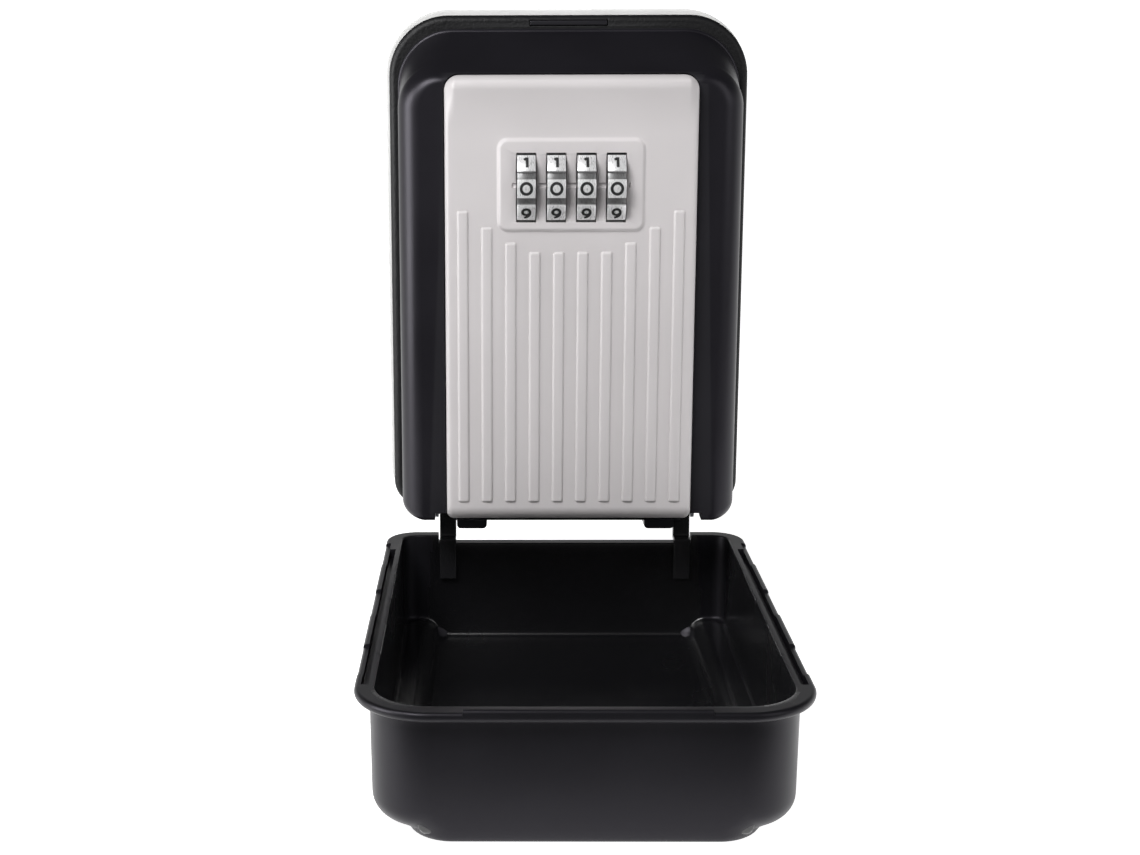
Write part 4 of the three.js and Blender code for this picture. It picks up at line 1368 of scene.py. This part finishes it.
def makeWheel(n, centre):
    w = wheel
    pairs = wheelProfile()
    half = w["width"] / 2
    e = w["edge"]
    hub, ring = w["bore"], w["hubRing"]
    dish = half - w["dishDepth"]
    outerDish = w["radius"] - w["rimWidth"]
    verts = []
    count = len(pairs)

    def put(x, radii):
        for (angle, _), r in zip(pairs, radii):
            a = radians(angle)
            verts.append((centre.x + x, axleY + r * cos(a), axleZ + r * sin(a)))

    sideFace = [(half, hub), (half, hub + ring), (dish, hub + ring + w["dishSlope"]),
                (dish, outerDish - w["dishSlope"]), (half, outerDish)]
    for x, radius in sideFace:
        put(-x, [radius] * count)
    for x, shrink in ((-half, e), (-half + 0.3 * e, 0.3 * e), (-half + e, 0), (half - e, 0),
                      (half - 0.3 * e, 0.3 * e), (half, e)):
        put(x, [radius - shrink for _, radius in pairs])
    for x, radius in reversed(sideFace):
        put(x, [radius] * count)
    rows = len(verts) // count
    faces = loftFaces(count, rows)
    faces += closingFaces(count, rows)
    thing = newObject(f"dialWheel{n}", verts, faces)
    tidyMesh(thing)
    shadeByAngle(thing, 24)
    return thing


# strokes of each digit in a unit box, right and up; a circle is (centre, radii, start, end)
digitStrokes = {
    0: [[("arc", 0, 0, 0.5, 0.5, 0, 360)]],
    1: [[("line", -0.22, 0.28, 0.08, 0.5), ("line", 0.08, 0.5, 0.08, -0.5)]],
    2: [[("arc", 0, 0.24, 0.36, 0.26, 170, -30), ("line", 0.31, 0.1, -0.36, -0.48),
         ("line", -0.36, -0.48, 0.4, -0.48)]],
    3: [[("arc", 0, 0.25, 0.32, 0.25, 160, -90), ("arc", 0, -0.25, 0.36, 0.25, 90, -160)]],
    4: [[("line", 0.14, -0.5, 0.14, 0.5), ("line", 0.14, 0.5, -0.4, -0.2), ("line", -0.4, -0.2, 0.4, -0.2)]],
    5: [[("line", 0.34, 0.5, -0.28, 0.5), ("line", -0.28, 0.5, -0.32, 0.06),
         ("arc", 0, -0.17, 0.37, 0.33, 140, -150)]],
    6: [[("arc", 0, -0.18, 0.35, 0.32, 0, 360)], [("arc", 0.32, -0.1, 0.66, 0.6, 100, 178)]],
    7: [[("line", -0.36, 0.48, 0.36, 0.48), ("line", 0.36, 0.48, -0.12, -0.5)]],
    8: [[("arc", 0, 0.26, 0.3, 0.24, 0, 360)], [("arc", 0, -0.24, 0.36, 0.26, 0, 360)]],
    9: [[("arc", 0, 0.18, 0.35, 0.32, 0, 360)], [("arc", -0.32, 0.1, 0.66, 0.6, -80, -2)]],
}


def strokePoints(parts):
    points = []
    for part in parts:
        if part[0] == "line":
            _, x0, y0, x1, y1 = part
            steps = 5
            for i in range(steps + 1):
                points.append((x0 + (x1 - x0) * i / steps, y0 + (y1 - y0) * i / steps))
        else:
            _, cx, cy, rx, ry, start, end = part
            steps = max(int(abs(end - start) / 12), 4)
            for i in range(steps + 1):
                a = radians(start + (end - start) * i / steps)
                points.append((cx + rx * cos(a), cy + ry * sin(a)))
    clean = [points[0]]
    for point in points[1:]:
        if hypot(point[0] - clean[-1][0], point[1] - clean[-1][1]) > 0.02:
            clean.append(point)
    return clean


# painted numbers laid on the lands as thin curved strips
def makeDigits(n, centre):
    verts, faces = [], []
    for digit, strokes in digitStrokes.items():
        middle = 180 - digit * landStep
        for parts in strokes:
            points = strokePoints(parts)
            closed = len(parts) == 1 and parts[0][0] == "arc" and abs(parts[0][6] - parts[0][5]) == 360
            if closed:
                points = points[:-1]
            addStrip(verts, faces, points, closed, centre.x, middle)
    thing = newObject(f"dialDigits{n}", verts, faces)
    tidyMesh(thing, 1e-7)
    return thing


def addStrip(verts, faces, points, closed, x0, middle):
    w = wheel
    count = len(points)
    first = len(verts)
    scaleX = w["digitWidth"] - w["stroke"]
    scaleY = w["digitHeight"] - w["stroke"]
    flat = [(x * scaleX, y * scaleY) for x, y in points]
    for i, (x, y) in enumerate(flat):
        before = flat[i - 1] if closed or i else flat[i]
        after = flat[(i + 1) % count] if closed or i < count - 1 else flat[i]
        way = Vector((after[0] - before[0], after[1] - before[1]))
        way.normalize()
        side = Vector((-way.y, way.x)) * w["stroke"] / 2
        for height in (-w["paintSunk"], w["paintHeight"]):
            for s in (-1, 1):
                verts.append(onWheel(x0, middle, x + side.x * s, y + side.y * s, w["radius"] + height))
    spans = count if closed else count - 1
    for i in range(spans):
        a = first + 4 * i
        b = first + 4 * ((i + 1) % count)
        faces.append((a + 2, a + 3, b + 3, b + 2))
        faces.append((a, b, b + 1, a + 1))
        faces.append((a, a + 2, b + 2, b))
        faces.append((a + 1, b + 1, b + 3, a + 3))
    if not closed:
        a = first
        b = first + 4 * (count - 1)
        faces.append((a, a + 1, a + 3, a + 2))
        faces.append((b, b + 2, b + 3, b + 1))


# u to the right and v up on the land whose middle angle is given
def onWheel(x0, middle, u, v, radius):
    a = radians(middle) - v / radius
    return (x0 + u, axleY + radius * cos(a), axleZ + radius * sin(a))


for n, joint in enumerate(dialJoints, 1):
    centre = Vector(joint["pos_m"])
    wheelPiece = makeWheel(n, centre)
    digitPiece = makeDigits(n, centre)
    finishPiece(wheelPiece, chromeDial, f"dial_{n}", "chrome_dial", f"dial_wheel_{n}")
    finishPiece(digitPiece, digitPaint, f"dial_{n}", "satin_black")
print("dials made", len(wheelPiece.data.polygons), len(digitPiece.data.polygons))


# base housing, gasket and catch

base = {
    "half": 42 * mm,
    "low": -59.3 * mm,
    "high": 58.7 * mm,
    "lowRadius": 6.5 * mm,
    "highRadius": 14 * mm,
    "flangeY": -16 * mm,
    "edge": 1.5 * mm,
    "wall": 2.5 * mm,
    "backY": -2.3 * mm,
    "fieldInset": 3.5 * mm,
    "fieldBackY": -4.5 * mm,
    "openHalf": 36 * mm,
    "openLow": -53.2 * mm,
    "openHigh": 50.8 * mm,
    "holeRadius": 2.4 * mm,
    "eyeRadius": 2.4 * mm,
    "lugLow": 22.8 * mm,
    "lugHigh": 26.65 * mm,
    "gasketGrow": 1.5 * mm,
    "gasketBand": 3.2 * mm,
    "gasketDepth": 2 * mm,
    "gasketRound": 0.5 * mm,
    "wallHoleX": 24 * mm,
    "wallHoleZ": 36.3 * mm,
    "catchGap": 0.12 * mm,
    "screwHole": 1.25 * mm,
    "backRound": 0.3 * mm,
    "pinHole": 1.2 * mm,
    "edgeBevel": 0.25 * mm,
}


def baseLoop(grow, steps=20):
    b = base
    return roundLoop(b["half"] + grow, b["low"] - grow, b["high"] + grow,
                     b["lowRadius"] + grow, b["highRadius"] + grow, steps=steps, sideSteps=24)


def makeBase():
    b = base
    outer = [[(x, b["backY"], z) for x, z in baseLoop(-b["backRound"])]]
    sideY = b["backY"] - b["backRound"]
    depth = b["flangeY"] + b["edge"] - sideY
    for i in range(13):
        outer.append([(x, sideY + depth * i / 12, z) for x, z in baseLoop(0)])
    for i in range(1, 9):
        a = radians(90 * i / 8)
        y = b["flangeY"] + b["edge"] * (1 - sin(a))
        outer.append([(x, y, z) for x, z in baseLoop(-b["edge"] * (1 - cos(a)))])
    thing = loft("baseHousing", outer)
    field = [[(x, y, z) for x, z in baseLoop(-b["fieldInset"], 12)] for y in (0, b["fieldBackY"])]
    boolean(thing, [loft("field", field)], "UNION")
    hollow = [[(x, y, z) for x, z in baseLoop(-b["wall"], 12)]
              for y in (b["fieldBackY"] - 0.3 * mm, b["flangeY"] + b["wall"])]
    opening = []
    for y, grow in ((b["flangeY"] + b["wall"] + 1 * mm, 0), (b["flangeY"] + 0.5 * mm, 0),
                    (b["flangeY"] + 0.15 * mm, 0.12), (b["flangeY"], 0.4), (b["flangeY"] - 1 * mm, 0.6)):
        loop = roundLoop(b["openHalf"] + grow * mm, b["openLow"] - grow * mm, b["openHigh"] + grow * mm,
                         4 * mm, 9 * mm, steps=12)
        opening.append([(x, y, z) for x, z in loop])
    cutters = [loft("hollow", hollow), loft("opening", opening)]
    for x in (-b["wallHoleX"], b["wallHoleX"]):
        for z in (-b["wallHoleZ"], b["wallHoleZ"]):
            cutters.append(rodY("wallHole", b["holeRadius"], -8 * mm, 2 * mm, x, z, 32))
    low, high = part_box("cover_catch")
    grow = b["catchGap"]
    cutters.append(box("catchSlot", (low.x - grow, b["flangeY"] - 2 * mm, low.z - grow),
                       (high.x + grow, high.y + grow, high.z + grow)))
    for name in ("left", "right"):
        x, z = middleOf(f"strike_screw_{name}")
        cutters.append(rodY("screwHole", b["screwHole"], b["flangeY"] + 1 * mm, b["flangeY"] + 4 * mm,
                            x, z, 20))
    boolean(thing, cutters)
    lugs = []
    for side in (-1, 1):
        lowX, highX = sorted((side * b["lugLow"], side * b["lugHigh"]))
        lugs.append(lugPiece(lowX, highX))
    boolean(thing, lugs, "UNION")
    bevelSharp(thing, b["edgeBevel"], 2, 45)
    shadeByAngle(thing, 40)
    weightNormals(thing)
    return thing


def lugPiece(lowX, highX):
    b = base
    r = b["eyeRadius"]
    points = [(hingeY + r, b["low"] + 1.2 * mm), (hingeY - r, b["low"] + 1.2 * mm)]
    for i in range(21):
        a = radians(180 + 180 * i / 20)
        points.append((hingeY + r * cos(a), hingeZ + r * sin(a)))
    rings = [[(x, y, z) for y, z in points] for x in (lowX, highX)]
    lug = loft("lug", rings)
    boolean(lug, [rod("pinHole", b["pinHole"], lowX - mm, highX + mm, hingeY, hingeZ, 24)])
    return lug


def makeGasket():
    b = base
    deep, soft = b["gasketDepth"], b["gasketRound"]
    grow, band = b["gasketGrow"], -b["gasketBand"]
    steps = []
    for g, sign in ((grow, -1), (band, 1)):
        row = []
        for i in range(5):
            a = radians(90 * i / 4)
            row.append((g + sign * soft * (1 - sin(a)), -soft * (1 - cos(a))))
        for i in range(5):
            a = radians(90 * i / 4)
            row.append((g + sign * soft * (1 - cos(a)), -deep + soft * (1 - sin(a))))
        steps.append(row)
    outerRow, innerRow = steps
    rings = [[(x, y, z) for x, z in baseLoop(g)] for g, y in outerRow + innerRow[::-1]]
    count = len(rings[0])
    verts = [p for ring in rings for p in ring]
    faces = loftFaces(count, len(rings))
    faces += closingFaces(count, len(rings))
    thing = newObject("wallGasket", verts, faces)
    tidyMesh(thing)
    shadeByAngle(thing, 40)
    return thing


basePiece = makeBase()
finishPiece(basePiece, texturedBlack, "base", "textured_black", "base_housing")
gasketPiece = makeGasket()
finishPiece(gasketPiece, paleFoam, "base", "pale_gasket", "wall_gasket")
print("base made", len(basePiece.data.polygons), len(gasketPiece.data.polygons))


# metal and small moulded parts

# the node's own mesh, merged, cleaned and given soft edges
def roundedCopy(node, name, width, segments=3, angle=30):
    source = frame["nodes"][node]
    thing = bpy.data.objects.new(name, source.data.copy())
    bpy.context.collection.objects.link(thing)
    thing.data.transform(source.matrix_world)
    bm = bmesh.new()
    bm.from_mesh(thing.data)
    bmesh.ops.remove_doubles(bm, verts=bm.verts, dist=2e-6)
    bmesh.ops.dissolve_limit(bm, angle_limit=radians(1), verts=bm.verts, edges=bm.edges)
    bmesh.ops.recalc_face_normals(bm, faces=bm.faces)
    bm.to_mesh(thing.data)
    bm.free()
    if width:
        bevelSharp(thing, width, segments, angle)
    shadeByAngle(thing, 40)
    weightNormals(thing)
    return thing


smallParts = [
    # node, body, bevel width in mm, material, slot
    ("cover_catch", "base", 0.3, satinBlack, "satin_black"),
    ("strike_plate", "base", 0.2, zincSteel, "zinc_steel"),
    ("hinge_pin_left", "base", 0.12, zincSteel, "zinc_steel"),
    ("hinge_pin_right", "base", 0.12, zincSteel, "zinc_steel"),
    ("lock_chassis", "door", 0.12, zincSteel, "zinc_steel"),
    ("detent_spring", "door", 0.06, springSteel, "spring_steel"),
    ("mechanism_cover", "door", 0.2, zincSteel, "zinc_steel"),
    ("dial_axle", "door", 0.2, springSteel, "spring_steel"),
    ("latch_bolt", "latch", 0.15, zincSteel, "zinc_steel"),
    ("reset_lever", "reset", 0.2, zincSteel, "zinc_steel"),
    *[(f"dial_cam_{n}", f"dial_{n}", 0.1, zincSteel, "zinc_steel") for n in range(1, 5)],
    ("cover_strap_left", "cover", 0.3, innerBlack, "cover_black"),
    ("cover_strap_right", "cover", 0.3, innerBlack, "cover_black"),
]
for node, body, width, material, slot in smallParts:
    words = node.split("_")
    name = words[0] + "".join(word.capitalize() for word in words[1:])
    piece = roundedCopy(node, name, width * mm)
    finishPiece(piece, material, body, slot, node)
print("small parts made")


# screws

screw = {
    "headRadius": 2.1 * mm,
    "headHeight": 1 * mm,
    "shankRadius": 0.9 * mm,
    "crossHalf": 0.28 * mm,
    "crossReach": 1.25 * mm,
    "crossDepth": 0.55 * mm,
    "pitch": 0.5 * mm,
    "pointLength": 0.6 * mm,
    "headRound": 0.3 * mm,
    "headEdge": 0.35 * mm,
    "firstTurn": 17,  # degrees
    "turnStep": 47,
}


# a pan-head screw along Y, its head's underside at the origin
def screwTemplate(name, length):
    s = screw
    shank, head = s["shankRadius"], s["headRadius"]
    profile = [(0, -length), (shank * 0.45, -length), (shank * 0.85, -length + 0.5 * mm)]
    turns = int((length - 2 * s["pointLength"]) / s["pitch"])
    for i in range(turns):
        y = -length + s["pointLength"] + i * s["pitch"]
        profile += [(shank * 0.84, y), (shank, y + 0.4 * s["pitch"]), (shank * 0.84, y + 0.8 * s["pitch"])]
    profile += [(shank * 0.9, -0.1 * mm), (shank * 0.9, 0), (head - 0.1 * mm, 0)]
    for i in range(7):
        a = radians(-60 + 150 * i / 6)
        profile.append((head - s["headRound"] * (1 - max(cos(a), 0)),
                        s["headEdge"] + (s["headHeight"] - s["headEdge"]) * max(sin(a), 0)))
    profile.append((0.0, s["headHeight"]))
    rings = []
    for r, y in profile:
        r = max(r, 0.01 * mm)
        rings.append([(u, y, v) for u, v in circle(r, 24)])
    thing = loft(name, rings)
    high = s["headHeight"]
    cross = [box("slot", (-s["crossReach"], high - s["crossDepth"], -s["crossHalf"]),
                 (s["crossReach"], high + 0.2 * mm, s["crossHalf"])),
             box("slot", (-s["crossHalf"], high - s["crossDepth"], -s["crossReach"]),
                 (s["crossHalf"], high + 0.2 * mm, s["crossReach"]))]
    boolean(thing, cross)
    shadeByAngle(thing, 35)
    return thing


def placeScrews(name, body, nodes, length):
    places, turns = [], []
    for i, node in enumerate(nodes):
        x, z = middleOf(node)
        places.append((x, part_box(node)[1].y - screw["headHeight"], z))
        turns.append((0, radians(screw["firstTurn"] + screw["turnStep"] * i), 0))
    piece = copyOnto(name, screwTemplate(name + "Template", length), places, zincSteel, None, turns)
    finishPiece(piece, zincSteel, body, "zinc_steel", *nodes)


for kind, length in (("chassis", 4.4), ("plate", 5.9), ("panel", 3.9)):
    placeScrews(f"{kind}Screws", "door", [f"{kind}_screw_{n}" for n in range(1, 5)], length * mm)
placeScrews("strikeScrews", "base", ["strike_screw_left", "strike_screw_right"], 3.1 * mm)
print("screws made")


# latch springs

for side in ("left", "right"):
    node = f"latch_spring_{side}"
    source = frame["nodes"][node]
    source.data.materials.clear()
    source.data.materials.append(springSteel)
print("springs dressed")
